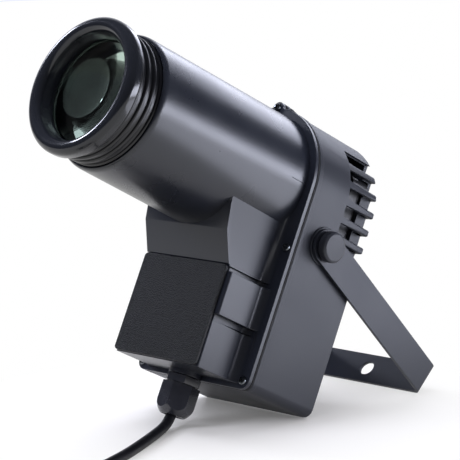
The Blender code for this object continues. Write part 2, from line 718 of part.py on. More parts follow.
def rear_shell():
    """Deep moulded cover with vents, fan pocket, pivot posts and the openings at the rear."""
    shell = forward_slab("rear_shell", [housing_outline(REAR_HALF, HOUSING_BOTTOM, HOUSING_CORNER)],
                         -REAR_DEPTH, -SEAM, SATIN_BLACK)
    bevel(shell, EDGE_ROUND)
    front_rim = forward_slab("front_rim", [full_outline()], -SEAM - RIM_WIDTH, -SEAM)
    inside = housing_outline(REAR_HALF - REAR_WALL, HOUSING_BOTTOM - REAR_WALL, HOUSING_CORNER - REAR_WALL)
    cavity = forward_slab("rear_cavity", [inside], -REAR_DEPTH + BACK_WALL, SEAM)
    join(shell, front_rim)
    cut(shell, cavity)
    lengths = [TOP_BOSS_LENGTH] + 4 * [SCREW_LENGTH]
    bosses = [forward_rod("screw_boss", SCREW_BOSS, -SEAM - length, -SEAM - GAP, s, d, sides=16)
              for length, (s, d) in zip(lengths, screw_places())]
    within = HOUSING_BOTTOM - REAR_WALL / 2
    limit = forward_slab("shell_limit", [housing_outline(REAR_HALF - REAR_WALL / 2, within, HOUSING_CORNER)],
                         -2 * REAR_DEPTH, SEAM)
    for boss in bosses[1:]:
        combine(boss, [limit], "INTERSECT")
    wall_middle = REAR_HALF - REAR_WALL / 2
    posts = pivot_rods("pivot_post", PIVOT_POST, REAR_HALF - PIVOT_POST_LENGTH, wall_middle, 24)
    pads = pivot_rods("pivot_boss", PIVOT_BOSS, wall_middle, REAR_HALF + PIVOT_BOSS_HEIGHT, 32)
    join(shell, *bosses, fan_pocket(limit), *posts, *pads)
    pivot_holes = pivot_rods("pivot_hole", INSERT_RADIUS + GAP, REAR_HALF - PIVOT_POST_LENGTH - REAR_WALL,
                             REAR_HALF + 2 * REAR_WALL, 20)
    control_opening = box("control_opening",
                          (CONTROL_WIDTH - 2 * CONTROL_LAP, 3 * BACK_WALL, CONTROL_HEIGHT - 2 * REAR_WALL),
                          head(0, -REAR_DEPTH, CONTROL_D), parent=HEAD)
    socket_holes = [forward_rod("socket_hole", SOCKET_RADIUS + GAP, -REAR_DEPTH - BACK_WALL, BACK_WALL * 2 - REAR_DEPTH,
                                side * SOCKET_S, SOCKET_D) for side in (1, -1)]
    cut(shell, *pivot_holes, *housing_screw_holes(SCREW_SHAFT + GAP, SCREW_SHAFT - SCREW_LENGTH, SEAM),
        control_opening, *socket_holes, *slot_cutters(), *grille_cutters())
    rename(shell, "rear_shell")


def heat_sink():
    """Aluminium disc against the front shell's collar, with straight fins towards the fan."""
    front = SEAM - GAP
    base = forward_rod("heat_sink", SINK_RADIUS, front - SINK_BASE, front, 0, 0, ALUMINIUM, 48)
    pitch = (2 * SINK_HALF - SINK_FIN_THICKNESS) / (SINK_FINS - 1)
    root = front - SINK_BASE / 2
    length = SINK_FIN_LENGTH + SINK_BASE / 2
    fins = [box("sink_fin", (SINK_FIN_THICKNESS, length, 2 * SINK_HALF),
                head(pitch * (index - (SINK_FINS - 1) / 2), root - length / 2, 0), parent=HEAD)
            for index in range(SINK_FINS)]
    join(base, *fins)
    cut(base, *[forward_rod("sink_hole", SCREW_SHAFT + GAP, -3 * SINK_BASE, SINK_BASE, s, d, sides=SMALL_SIDES)
                for s, d in sink_screw_places()])
    for number, (s, d) in enumerate(sink_screw_places(), 1):
        screw("heat_sink_screw_%d" % number, s, front - SINK_BASE - GAP, d, SINK_BASE + COLLAR_LENGTH / 2, True)


def light_engine():
    """Emitter on its board, and the collimating optic in its holder."""
    board_front = SEAM + BOARD_THICKNESS
    forward_rod("led_board", BOARD_RADIUS, SEAM, board_front, 0, 0, BOARD_WHITE)
    dome = [(EMITTER_RADIUS * cos(t), EMITTER_HEIGHT * sin(t)) for t in [radians(90 - 30 * i) for i in range(4)]]
    turned("led_emitter", [*dome, (0, 0)], head(0, board_front + GAP, 0), FORWARD, HEAD, EMITTER, sides=16)
    front = OPTIC_START + OPTIC_LENGTH
    rim = front - HOLDER_WALL
    waist = OPTIC_RADIUS - HOLDER_WALL
    turned("collimator_lens", [(0, front), (OPTIC_RADIUS, front), (OPTIC_RADIUS, rim), (waist, rim),
                               (EMITTER_RADIUS, OPTIC_START), (0, OPTIC_START)],
           turn=FORWARD, parent=HEAD, mat=CLEAR_PLASTIC, sides=24)
    inner = OPTIC_RADIUS + GAP
    outer = inner + HOLDER_WALL
    flange_back = COLLAR_LENGTH + GAP
    flange_front = flange_back + HOLDER_FLANGE
    flange_edge = BARREL_BORE - GAP
    rear = board_front + GAP
    turned("collimator_holder", [
        (inner, front), (outer, front), (outer, flange_front), (flange_edge, flange_front),
        (flange_edge, flange_back), (outer, flange_back), (outer, rear), (waist + GAP, rear),
        (waist + GAP, rim - GAP), (inner, rim - GAP)],
        turn=FORWARD, parent=HEAD, mat=SATIN_BLACK, sides=24, closed=True)


def fan():
    """Axial fan: square frame in the rear pocket, and the rotor on its own axis."""
    back = BACK_WALL + GAP - REAR_DEPTH
    front = back + FAN_THICKNESS
    motor_front = back + FAN_THICKNESS / 4
    loops = [rounded_rectangle(FAN_SIZE, FAN_SIZE, FAN_CORNER), circle(FAN_BORE, 24)]
    frame = forward_slab("fan_frame", loops, back, front, GLOSS_BLACK, FAN_DROP)
    motor = forward_rod("motor_cup", FAN_HUB, back, motor_front, 0, FAN_DROP)
    spokes = [box("fan_spoke", (2 * FAN_BORE + POCKET_WALL, motor_front - back, POCKET_WALL),
                  head(0, (back + motor_front) / 2, FAN_DROP), (0, radians(angle), 0), HEAD) for angle in (45, 135)]
    join(frame, motor, *spokes)
    hole = FAN_HOLE_SPACING / 2
    cut(frame, *[forward_rod("fan_hole", SCREW_SHAFT + GAP, back - POCKET_WALL, front + POCKET_WALL, sx * hole,
                             FAN_DROP + sd * hole, sides=SMALL_SIDES) for sx in (1, -1) for sd in (1, -1)])
    rename(frame, "fan_frame")
    rotor_back = motor_front + GAP
    rotor_front = front - GAP
    depth = rotor_front - rotor_back
    centre = (rotor_back + rotor_front) / 2
    rotor = forward_rod("fan_rotor", FAN_HUB, rotor_back, rotor_front, 0, FAN_DROP, SATIN_BLACK)
    tip = FAN_BORE - FAN_TIP_GAP
    blades = []
    for index in range(FAN_BLADES):
        turn = 2 * pi * index / FAN_BLADES
        reach = (BLADE_ROOT + tip) / 2
        lean = Matrix.Rotation(-turn, 3, "Y") @ Matrix.Rotation(BLADE_PITCH, 3, "X")
        blades.append(box("fan_blade", (tip - BLADE_ROOT, depth, BLADE_THICKNESS),
                          head(reach * cos(turn), centre, FAN_DROP - reach * sin(turn)), lean.to_euler(), HEAD))
    join(rotor, *blades)
    sweep = forward_rod("rotor_sweep", tip, rotor_back, rotor_front, 0, FAN_DROP, sides=32)
    combine(rotor, [sweep], "INTERSECT")


def electronics():
    """Driver board on its posts behind the front panel, with its large parts."""
    board_front = BLOCK_FACE - BLOCK_WALL - DRIVER_POST - GAP
    middle_d = (DRIVER_TOP + DRIVER_BOTTOM) / 2
    box("driver_board", (DRIVER_WIDTH, BOARD_THICKNESS, DRIVER_BOTTOM - DRIVER_TOP),
        head(0, board_front - BOARD_THICKNESS / 2, middle_d), parent=HEAD, mat=BOARD_GREEN)
    parts_front = board_front - BOARD_THICKNESS - GAP
    box("driver_transformer", TRANSFORMER, head(-DRIVER_WIDTH / 6, parts_front - TRANSFORMER[1] / 2, middle_d),
        parent=HEAD, mat=WINDING, rounding=EDGE_ROUND)
    for number, side in ((1, -1), (2, 1)):
        forward_rod("driver_capacitor_%d" % number, CAPACITOR_RADIUS, parts_front - CAPACITOR_HEIGHT, parts_front,
                    DRIVER_WIDTH / 3, middle_d + side * 1.5 * CAPACITOR_RADIUS, SLEEVE, 16)


def control_panel():
    """Plate with display window and four sprung buttons on the rear wall, and its board."""
    plate_back = REAR_DEPTH + GAP
    plate_face = plate_back + CONTROL_PLATE
    board_face = REAR_DEPTH - BACK_WALL - GAP
    window_width, window_height = PANEL_WINDOW
    places = [BUTTON_FIRST + BUTTON_PITCH * index for index in range(len(BUTTON_NAMES))]
    loops = [rounded_rectangle(CONTROL_WIDTH, CONTROL_HEIGHT, REAR_WALL),
             rounded_rectangle(window_width + 2 * GAP, window_height + 2 * GAP, 2 * GAP, (WINDOW_S, 0))]
    loops += [circle(BUTTON_RADIUS + GAP, 16, (s, 0)) for s in places]
    plate = forward_slab("control_panel", loops, -plate_face, -plate_back, SATIN_BLACK, CONTROL_D)
    rename(plate, "control_panel")
    window_depth = plate_face - board_face - GAP
    box("display_window", (window_width, window_depth, window_height),
        head(WINDOW_S, -plate_face + window_depth / 2, CONTROL_D), parent=HEAD, mat=SMOKE)
    box("control_board", (CONTROL_WIDTH, BOARD_THICKNESS, CONTROL_HEIGHT),
        head(0, -board_face + BOARD_THICKNESS / 2, CONTROL_D), parent=HEAD, mat=BOARD_GREEN)
    shoulder = -CONTROL_PLATE - GAP
    base = shoulder - (plate_back - board_face - 3 * GAP - BUTTON_TRAVEL)
    lip = BUTTON_RADIUS + BUTTON_LIP
    for name, s in zip(BUTTON_NAMES, places):
        turned(name, [(0, BUTTON_PROUD), (BUTTON_RADIUS - GAP, BUTTON_PROUD), (BUTTON_RADIUS, BUTTON_PROUD - GAP),
                      (BUTTON_RADIUS, shoulder), (lip, shoulder), (lip, base), (0, base)],
               head(s, -plate_face, CONTROL_D), BACKWARD, HEAD, RUBBER, sides=16)


def signal_sockets():
    """Round three-pin sockets: contacts in a cup on one side, three holes on the other."""
    width, height, thickness = SOCKET_FLANGE
    face = -REAR_DEPTH - GAP
    outer_face = face - thickness
    places = [(PIN_CIRCLE * cos(t), PIN_CIRCLE * sin(t)) for t in [radians(angle) for angle in (30, 150, 270)]]
    for name, s in (("signal_in_socket", SOCKET_S), ("signal_out_socket", -SOCKET_S)):
        body = forward_slab(name, [rounded_rectangle(width, height, REAR_WALL)], outer_face, face, GLOSS_BLACK,
                            SOCKET_D, s)
        join(body, forward_rod("socket_barrel", SOCKET_RADIUS, face - thickness / 2, face + SOCKET_DEPTH, s, SOCKET_D))
        rename(body, name)
    cup_floor = outer_face + CUP_DEPTH
    cut(bpy.data.objects["signal_in_socket"],
        forward_rod("socket_cup", SOCKET_CUP, outer_face - thickness, cup_floor, SOCKET_S, SOCKET_D))
    cut(bpy.data.objects["signal_out_socket"],
        *[forward_rod("contact_hole", PIN_RADIUS + GAP, outer_face - thickness, cup_floor, -SOCKET_S + x,
                      SOCKET_D - y, sides=SMALL_SIDES) for x, y in places])
    base = forward_rod("signal_in_contacts", SOCKET_CUP - GAP, cup_floor - GAP - PIN_BASE, cup_floor - GAP, SOCKET_S,
                       SOCKET_D, BRASS)
    join(base, *[forward_rod("contact_pin", PIN_RADIUS, cup_floor - GAP - PIN_LENGTH, cup_floor - GAP - PIN_BASE / 2,
                             SOCKET_S + x, SOCKET_D - y, sides=8) for x, y in places])


# Faces of the clamp's pieces, measured out from the middle of the lamp
ARM_INNER = REAR_HALF + PIVOT_BOSS_HEIGHT + GAP
ARM_OUTER = ARM_INNER + BAR_THICKNESS
WASHER_INNER = ARM_OUTER + GAP
WASHER_OUTER = WASHER_INNER + WASHER_THICKNESS
KNOB_INNER = WASHER_OUTER + GAP
KNOB_OUTER = KNOB_INNER + KNOB_THICKNESS
KNOB_BORE_END = KNOB_OUTER - KNOB_FACE
INSERT_INNER = REAR_HALF - INSERT_LENGTH


def clamp_hardware():
    """On each side: threaded insert in the shell, washer, and thumb knob on its stud."""
    at_pivot = head(0, PIVOT_A, PIVOT_D)
    bore = STUD_RADIUS + GAP
    stud_start = INSERT_INNER + GAP
    stud_end = KNOB_BORE_END - GAP
    for name, side in (("left", 1), ("right", -1)):
        turn = (0, side * radians(90), 0)
        turned(name + "_insert", [(bore, REAR_HALF), (INSERT_RADIUS, REAR_HALF), (INSERT_RADIUS, INSERT_INNER),
                                  (bore, INSERT_INNER)], at_pivot, turn, HEAD, BRASS, sides=16, closed=True)
        turned(name + "_washer", [(bore, WASHER_OUTER), (WASHER_RADIUS, WASHER_OUTER), (WASHER_RADIUS, WASHER_INNER),
                                  (bore, WASHER_INNER)], at_pivot, turn, HEAD, ZINC, sides=20, closed=True)
        turned(name + "_knob", [(0, KNOB_OUTER), (KNOB_RADIUS - EDGE_ROUND, KNOB_OUTER),
                                (KNOB_RADIUS, KNOB_OUTER - EDGE_ROUND), (KNOB_RADIUS, KNOB_INNER), (bore, KNOB_INNER),
                                (bore, KNOB_BORE_END), (0, KNOB_BORE_END)],
               at_pivot, turn, HEAD, SATIN_BLACK, sides=28)
        rod(name + "_stud", STUD_RADIUS, stud_end - stud_start,
            head(side * (stud_start + stud_end) / 2, PIVOT_A, PIVOT_D), SIDEWAYS, HEAD, ZINC, 16)


def bracket():
    """Flat steel bar bent to a U, with rounded ends on the pivot and a bolt hole in its base."""
    pivot = empty("bracket_frame", (0, MIDDLE - PIVOT_FORWARD, PIVOT_HEIGHT), (radians(90) - BRACKET_LEAN, 0, 0))
    top = BAR_WIDTH
    inner_bend = BAR_BEND - BAR_THICKNESS
    outside = [(ARM_OUTER, top), *arc((ARM_OUTER - BAR_BEND, BAR_BEND - ARM_LENGTH), BAR_BEND, 0, -90, 5)]
    inside = [*arc((ARM_INNER - inner_bend, BAR_BEND - ARM_LENGTH), inner_bend, -90, 0, 5), (ARM_INNER, top)]
    loop = outside + [(-x, y) for x, y in reversed(outside)] + [(-x, y) for x, y in reversed(inside)] + inside
    bar = slab("bracket", [loop], BAR_WIDTH, turn=(radians(90), 0, 0), parent=pivot, mat=PAINTED_STEEL)
    low = -ARM_LENGTH - BAR_BEND
    side_view = arc((0, 0), BAR_HALF, 0, 180, 16) + [(-BAR_HALF - GAP, 0), (-BAR_HALF - GAP, low),
                                                      (BAR_HALF + GAP, low), (BAR_HALF + GAP, 0)]
    arm_shape = slab("arm_shape", [side_view], 3 * ARM_OUTER,
                     turn=tuple(Matrix(((0, 0, 1), (1, 0, 0), (0, 1, 0))).to_euler()), parent=pivot)
    combine(bar, [arm_shape], "INTERSECT")
    cut(bar, rod("arm_holes", STUD_RADIUS + 2 * GAP, 3 * ARM_OUTER, (0, 0, 0), SIDEWAYS, pivot, sides=20),
        rod("bolt_hole", BOLT_HOLE, 4 * BAR_THICKNESS, (0, 0, -ARM_LENGTH), (0, 0, 0), pivot, sides=32))
    rename(bar, "bracket")


def lens_tube():
    """Focusing tube: coarse thread ridges outside, friction seal groove and seat for the lens."""
    shoulder = BEZEL_REAR - GAP
    profile = [(LENS_RADIUS + GAP, shoulder + NECK_LENGTH), (NECK_RADIUS, shoulder + NECK_LENGTH),
               (NECK_RADIUS, shoulder), (TUBE_CORE, shoulder)]
    flat = THREAD_FLAT / 2
    for turn in range(THREAD_TURNS):
        crest = THREAD_FIRST - turn * THREAD_PITCH
        profile += [(TUBE_CORE, crest + flat + THREAD_SLOPE), (TUBE_CREST, crest + flat),
                    (TUBE_CREST, crest - flat), (TUBE_CORE, crest - flat - THREAD_SLOPE)]
    groove = SEAL_GROOVE / 2
    groove_floor = TUBE_CREST - 2 * SEAL_WIRE - 2 * GAP
    seat = LENS_SEAT - 2 * GAP - LENS_EDGE
    profile += [(TUBE_CORE, SEAL_PLACE + groove), (groove_floor, SEAL_PLACE + groove),
                (groove_floor, SEAL_PLACE - groove), (TUBE_CORE, SEAL_PLACE - groove), (TUBE_CORE, TUBE_REAR),
                (TUBE_BORE, TUBE_REAR), (TUBE_BORE, seat - LENS_EDGE), (LENS_RADIUS + GAP, seat)]
    turned("lens_tube", profile, turn=FORWARD, parent=HEAD, mat=GLOSS_BLACK, sides=BARREL_SIDES, closed=True)
    seal_middle = TUBE_CREST - SEAL_WIRE
    wire = [(seal_middle + SEAL_WIRE * cos(t), SEAL_PLACE - SEAL_WIRE * sin(t))
            for t in [2 * pi * i / 6 for i in range(6)]]
    turned("focus_seal", wire, turn=FORWARD, parent=HEAD, mat=RUBBER, sides=24, closed=True)


def lens_and_bezel():
    """Plano-convex lens held between its retaining ring and the rounded bezel."""
    edge_front = LENS_SEAT + LENS_EDGE
    sphere = (LENS_RADIUS ** 2 + LENS_CROWN ** 2) / (2 * LENS_CROWN)
    half_angle = asin(LENS_RADIUS / sphere)
    crown = [(sphere * sin(t), edge_front + LENS_CROWN - sphere * (1 - cos(t)))
             for t in [half_angle * i / 6 for i in range(7)]]
    turned("lens", [*crown, (LENS_RADIUS, LENS_SEAT), (0, LENS_SEAT)], turn=FORWARD, parent=HEAD, mat=GLASS, sides=32)
    clear = LENS_RADIUS - LENS_LAP
    ring_front = LENS_SEAT - GAP
    ring_back = ring_front - LENS_EDGE
    turned("lens_retainer", [(clear, ring_front), (LENS_RADIUS, ring_front), (LENS_RADIUS, ring_back),
                             (clear, ring_back)], turn=FORWARD, parent=HEAD, mat=GLOSS_BLACK, sides=32, closed=True)
    bead = arc((BEZEL_RADIUS - BEZEL_CROWN, BEZEL_FRONT - BEZEL_CROWN), BEZEL_CROWN, 180, 0, 7)
    neck_clear = NECK_RADIUS + GAP
    neck_front = BEZEL_REAR + NECK_LENGTH
    lip_drop = sphere - sqrt(sphere ** 2 - clear ** 2)
    lip = edge_front + LENS_CROWN - lip_drop + 2 * GAP
    turned("lens_bezel", [*bead, (BEZEL_RADIUS, BEZEL_REAR + EDGE_ROUND), (BEZEL_RADIUS - EDGE_ROUND, BEZEL_REAR),
                          (neck_clear, BEZEL_REAR), (neck_clear, neck_front), (LENS_RADIUS, neck_front),
                          (LENS_RADIUS, lip + LENS_LAP), (clear, lip), (clear, neck_front)],
           turn=FORWARD, parent=HEAD, mat=GLOSS_BLACK, sides=BARREL_SIDES, closed=True)


# Levels of the cable gland, measured down from the barrel's axis
GLAND_FACE = HOUSING_BOTTOM + THREAD_GAP
COLLAR_END = GLAND_FACE + GLAND_COLLAR
NECK_END = COLLAR_END + GLAND_NECK_LENGTH
LOCKNUT_FACE = BLOCK_BOTTOM - BLOCK_WALL - GAP
NUT_START = COLLAR_END + GAP
NUT_HEX_END = NUT_START + NUT_HEX_LENGTH
NUT_END = NUT_HEX_END + NUT_DOME_LENGTH
CORD_START = GLAND_FACE - CORD_INNER_END


def hexagon(name, corner, hole, start, end, mat=None):
    """Hexagonal ring on the gland's axis, from d to d."""
    loops = [circle(corner, 6, phase=HEX_TURN), circle(hole, 24)]
    return slab(name, loops, end - start, head(0, GLAND_A, (start + end) / 2), DOWNWARD, HEAD, mat)


def cable_gland():
    """Body through the floor of the block, lock nut inside, seal and domed nut outside."""
    at_gland = head(0, GLAND_A, 0)
    throat = CORD / 2 + 2 * GAP
    seal_bore = CORD / 2 + GAP
    seal_radius = GLAND_NECK - SEAL_WALL - GAP
    body = turned("gland_body", [
        (seal_radius + GAP, NECK_END), (GLAND_NECK, NECK_END), (GLAND_NECK, GLAND_FACE), (GLAND_THREAD, GLAND_FACE),
        (GLAND_THREAD, LOCKNUT_FACE - LOCKNUT_THICKNESS - GAP), (throat, LOCKNUT_FACE - LOCKNUT_THICKNESS - GAP),
        (throat, COLLAR_END), (seal_radius + GAP, COLLAR_END)],
        at_gland, DOWNWARD, HEAD, GLOSS_BLACK, 24, closed=True)
    join(body, hexagon("gland_collar", GLAND_HEX, GLAND_NECK - SEAL_WALL / 2, GLAND_FACE, COLLAR_END))
    rename(hexagon("gland_locknut", LOCKNUT_HEX, GLAND_THREAD + THREAD_GAP, LOCKNUT_FACE - LOCKNUT_THICKNESS,
                   LOCKNUT_FACE, GLOSS_BLACK), "gland_locknut")
    turned("gland_seal", [(seal_bore, NECK_END - GAP), (seal_radius, NECK_END - GAP), (seal_radius, COLLAR_END + GAP),
                          (seal_bore, COLLAR_END + GAP)], at_gland, DOWNWARD, HEAD, RUBBER, 24, closed=True)
    corner = GLAND_HEX + GAP
    reach = acos(NUT_TIP / corner)
    rise = NUT_DOME_LENGTH / sin(reach)
    dome = [(corner * cos(t), NUT_HEX_END + rise * sin(t)) for t in [reach * i / 5 for i in range(5, -1, -1)]]
    thread = GLAND_NECK + THREAD_GAP
    nut = turned("gland_nut", [(NUT_TIP - NUT_WALL, NUT_END), *dome, (corner, NUT_START), (thread, NUT_START),
                               (thread, NECK_END + GAP), (throat, NECK_END + 2 * GAP + NUT_WALL)],
                 at_gland, DOWNWARD, HEAD, GLOSS_BLACK, 24, closed=True)
    facets = slab("nut_facets", [circle(GLAND_HEX, 6, phase=HEX_TURN)], 2 * (NUT_END - NUT_START),
                  head(0, GLAND_A, (NUT_START + NUT_END) / 2), DOWNWARD, HEAD)
    combine(nut, [facets], "INTERSECT")


def unit(direction):
    """A level direction of length one."""
    flat = np.array((direction[0], direction[1], 0.0))
    return flat / np.linalg.norm(flat)


def floor_point(side, forward, up):
    """A point given to the side, forward and up, as world coordinates."""
    return np.array((side, MIDDLE - forward, up))


def smooth_route(route, steps):
    """Points read evenly from a smooth curve through the route's points."""
    ends = [2 * route[0] - route[1], *route, 2 * route[-1] - route[-2]]
    points = []
    for before, start, end, after in zip(ends, ends[1:], ends[2:], ends[3:]):
        for step in range(steps):
            t = step / steps
            points.append(0.5 * (2 * start + (end - before) * t + (2 * before - 5 * start + 4 * end - after) * t ** 2
                                 + (3 * start - before - 3 * end + after) * t ** 3))
    return points + [route[-1]]


def tube(name, points, resolution, mat):
    """The cord's round tube along the points, with closed ends."""
    curve = bpy.data.curves.new(name, "CURVE")
    curve.dimensions = "3D"
    curve.bevel_depth = CORD / 2
    curve.bevel_resolution = resolution
    curve.use_fill_caps = True
    spline = curve.splines.new("POLY")
    spline.points.add(len(points) - 1)
    for point, place in zip(spline.points, points):
        point.co = (*place, 1.0)
    rename(as_mesh(add_object(name + "_path", curve), mat), name)


LOWER_LAYER = TIE_THICKNESS + GAP + CORD / 2
HALF_COIL = COIL_TURNS / 2


def coil_points():
    """Two layers: spiral in, climb a layer in the half turn where it reverses, spiral out."""
    count = round(COIL_TURNS * COIL_POINTS)
    points = []
    for index in range(count + 1):
        turn = COIL_TURNS * index / count
        radius = COIL_RADIUS - COIL_PITCH * min(turn, COIL_TURNS - turn)
        climb = min(max((turn - HALF_COIL) / CLIMB_TURNS + 0.5, 0.0), 1.0)
        height = LOWER_LAYER + COIL_PITCH * climb * climb * (3 - 2 * climb)
        angle = COIL_START + 2 * pi * turn
        points.append(floor_point(COIL_CENTRE[0] + radius * cos(angle), COIL_CENTRE[1] + radius * sin(angle), height))
    start = points[0] - unit(points[1] - points[0]) * CORD
    end = points[-1] + unit(points[-1] - points[-2]) * CORD
    return [start, *points, end]


def least_gap(points):
    """Smallest clear distance between stretches of the coil half a turn or more apart."""
    apart = COIL_POINTS // 2
    places = np.array(points)
    return min(np.linalg.norm(places[i + apart:] - places[i], axis=1).min()
               for i in range(len(places) - apart)) - CORD


def power_cord():
    """Lead from the gland along the floor to the stored coil, with its ties and plug."""
    coil = coil_points()
    print("least gap of the coil to itself: %.2f mm" % (least_gap(coil) / MM))
    route = [np.array(HEAD.matrix_basis @ head(0, GLAND_A, CORD_START + depth)) for depth in CORD_IN_GLAND]
    route += [floor_point(*point) for point in CORD_ROUTE]
    into = unit(coil[1] - coil[0])
    route += [coil[0] - into * 2 * CORD, coil[0] - into * GAP]
    tube("power_cord", smooth_route(route, ROUTE_STEPS), 2, CORD_PVC)
    tube("cord_coil", coil, 1, CORD_PVC)
    cord_ties()
    cord_plug(coil[-1], unit(coil[-1] - coil[-2]))


def cord_ties():
    """Two straps round the coil's bundle, which also lift it off the floor."""
    bundle_inner = COIL_RADIUS - COIL_PITCH * HALF_COIL - CORD / 2 - GAP
    near = sqrt(bundle_inner ** 2 - (TIE_WIDTH / 2) ** 2)
    far = COIL_RADIUS + CORD / 2 + GAP
    width = far - near
    height = CORD + COIL_PITCH + 2 * GAP
    middle = (near + far) / 2
    for number, angle in enumerate(TIE_ANGLES, 1):
        place = floor_point(COIL_CENTRE[0] + middle * cos(angle), COIL_CENTRE[1] + middle * sin(angle),
                            TIE_THICKNESS + height / 2)
        loops = [rounded_rectangle(width + 2 * TIE_THICKNESS, height + 2 * TIE_THICKNESS, 2 * TIE_THICKNESS),
                 rounded_rectangle(width, height, TIE_THICKNESS)]
        name = "cord_tie_%d" % number
        rename(slab(name, loops, TIE_WIDTH, place, (radians(90), 0, -angle), mat=RUBBER), name)


def cord_plug(start, along):
    """Moulded three-pin plug beside the coil: tapered strain relief, body and contacts."""
    axis_height = start[2]
    frame = empty("plug_frame", start + along * GAP, (0, radians(90), atan2(along[1], along[0])))
    relief = turned("plug_relief", [(0, PLUG_RELIEF + PLUG_LENGTH / 4), (CORD, PLUG_RELIEF + PLUG_LENGTH / 4),
                                    (CORD, PLUG_RELIEF), (PLUG_NECK, 0), (0, 0)], parent=frame, sides=16)
    body = box("plug_body", (2 * axis_height, PLUG_WIDTH, PLUG_LENGTH), (0, 0, PLUG_RELIEF + PLUG_LENGTH / 2),
               parent=frame, mat=CORD_PVC, rounding=2 * EDGE_ROUND)
    join(body, relief)
    face = PLUG_RELIEF + PLUG_LENGTH + GAP
    root = face + PLUG_FACE / 2
    contacts = box("plug_contacts", (2 * axis_height - 4 * EDGE_ROUND, PLUG_WIDTH - 4 * EDGE_ROUND, PLUG_FACE),
                   (0, 0, face + PLUG_FACE / 2), parent=frame, mat=BRASS)
    blades = [box("blade", (*BLADE_SECTION, BLADE_LENGTH), (-axis_height / 4, side * BLADE_SPACING / 2,
                                                            root + BLADE_LENGTH / 2), parent=frame)
              for side in (1, -1)]
    earth = rod("earth_pin", EARTH_RADIUS, EARTH_LENGTH, (axis_height / 3, 0, root + EARTH_LENGTH / 2),
                parent=frame, sides=SMALL_SIDES)
    join(contacts, *blades, earth)


front_shell()
front_panel()
seam_gasket()
housing_screws()
rear_shell()
heat_sink()
light_engine()
fan()
electronics()
control_panel()
signal_sockets()
clamp_hardware()
bracket()
lens_tube()
lens_and_bezel()
cable_gland()
power_cord()

for piece in PARTS.objects:
    if piece.type == "MESH":
        piece.data.shade_smooth()
        piece.data.set_sharp_from_angle(angle=radians(30))
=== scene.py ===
"""Looks of an LED pinspot light on its folded bracket, with its mains cord."""

import bpy
import bmesh
import json
from math import acos, asin, cos, pi, radians, sin, sqrt
from mathutils import Matrix, Vector


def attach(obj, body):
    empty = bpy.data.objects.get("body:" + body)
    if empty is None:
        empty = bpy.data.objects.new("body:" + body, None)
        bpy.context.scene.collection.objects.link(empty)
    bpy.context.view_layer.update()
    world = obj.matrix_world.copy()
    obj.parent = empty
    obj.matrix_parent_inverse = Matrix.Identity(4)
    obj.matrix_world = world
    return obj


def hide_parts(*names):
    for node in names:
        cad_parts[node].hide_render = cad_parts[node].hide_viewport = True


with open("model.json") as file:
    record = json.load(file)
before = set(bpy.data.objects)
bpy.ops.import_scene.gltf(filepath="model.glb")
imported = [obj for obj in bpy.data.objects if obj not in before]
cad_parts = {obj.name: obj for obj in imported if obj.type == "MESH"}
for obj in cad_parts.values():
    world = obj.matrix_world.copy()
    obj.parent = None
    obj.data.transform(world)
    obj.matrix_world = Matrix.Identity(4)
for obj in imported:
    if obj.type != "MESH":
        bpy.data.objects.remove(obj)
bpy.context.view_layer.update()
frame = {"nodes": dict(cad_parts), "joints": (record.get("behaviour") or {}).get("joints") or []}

nodes = frame["nodes"]

# Camera. The picture was taken from the lamp's front left, from a little over a metre away,
# with a long lens just above the floor, and the camera leans a touch to one side.
MM = 0.001
CAMERA_PLACE = Vector((962.5, -919.8, 308.0)) * MM
CAMERA_AZIMUTH = radians(46.25)
CAMERA_ELEVATION = radians(8.17)
CAMERA_ROLL = radians(-0.94)
CAMERA_LENS = 168.2

camera_data = bpy.data.cameras.new("camera")
camera_data.lens = CAMERA_LENS
camera_data.sensor_width = 36.0
camera = bpy.data.objects.new("camera", camera_data)
bpy.context.scene.collection.objects.link(camera)
look = Matrix.Rotation(CAMERA_AZIMUTH, 4, "Z") @ Matrix.Rotation(pi / 2 - CAMERA_ELEVATION, 4, "X")
camera.matrix_world = Matrix.Translation(CAMERA_PLACE) @ look @ Matrix.Rotation(CAMERA_ROLL, 4, "Z")
bpy.context.scene.camera = camera

# Mains cord. A round black PVC sheath leaves the gland, bends down to the floor, runs forward out of
# the picture and is wound into a two-layer coil. Extruded PVC has a dull sheen and a fine grain.
SEAL_PLACE = 109.5
CORD = 6.5
GLAND_A = 8.5
CORD_START = 118.0
CORD_IN_GLAND = (0.0, 10.0, 20.0, 27.7)
CORD_ROUTE = (
    (0.6, 76.1, 11.6), (2.4, 81.0, 7.1), (5.1, 86.6, 4.3), (8.6, 92.4, 3.4), (12.6, 98.7, 3.3),
    (18.4, 108.2, 3.3), (25.2, 120.0, 3.3), (33.6, 135.3, 3.3), (41.0, 149.6, 3.3), (47.8, 164.6, 3.3),
    (53.9, 180.0, 3.3), (59.1, 196.0, 3.3), (63.3, 212.2, 3.3), (65.9, 228.6, 3.4), (66.2, 245.0, 3.7),
    (63.9, 261.0, 4.1),
)
ROUTE_STEPS = 6
COIL_CENTRE = (8.0, 280.0)
COIL_RADIUS = 45.0
COIL_PITCH = 7.0
COIL_TURNS = 5.2
COIL_POINTS = 48
COIL_START = radians(18)
CLIMB_TURNS = 0.5
TIE_THICKNESS = 1.0
LOWER_LAYER = TIE_THICKNESS + 0.3 + CORD / 2

focus = next(joint for joint in frame["joints"] if joint["name"] == "focus_turn")
side = Vector((1, 0, 0))
forward = Vector(focus["axis"]).normalized()
down = side.cross(forward)
seam_centre = Vector(focus["pos_m"]) - forward * SEAL_PLACE * MM
middle = seam_centre.y


def at(s, a, d):
    """The point s to the side, a forward along the barrel from the seam and d down from its axis, in mm."""
    return seam_centre + (side * s + forward * a + down * d) * MM


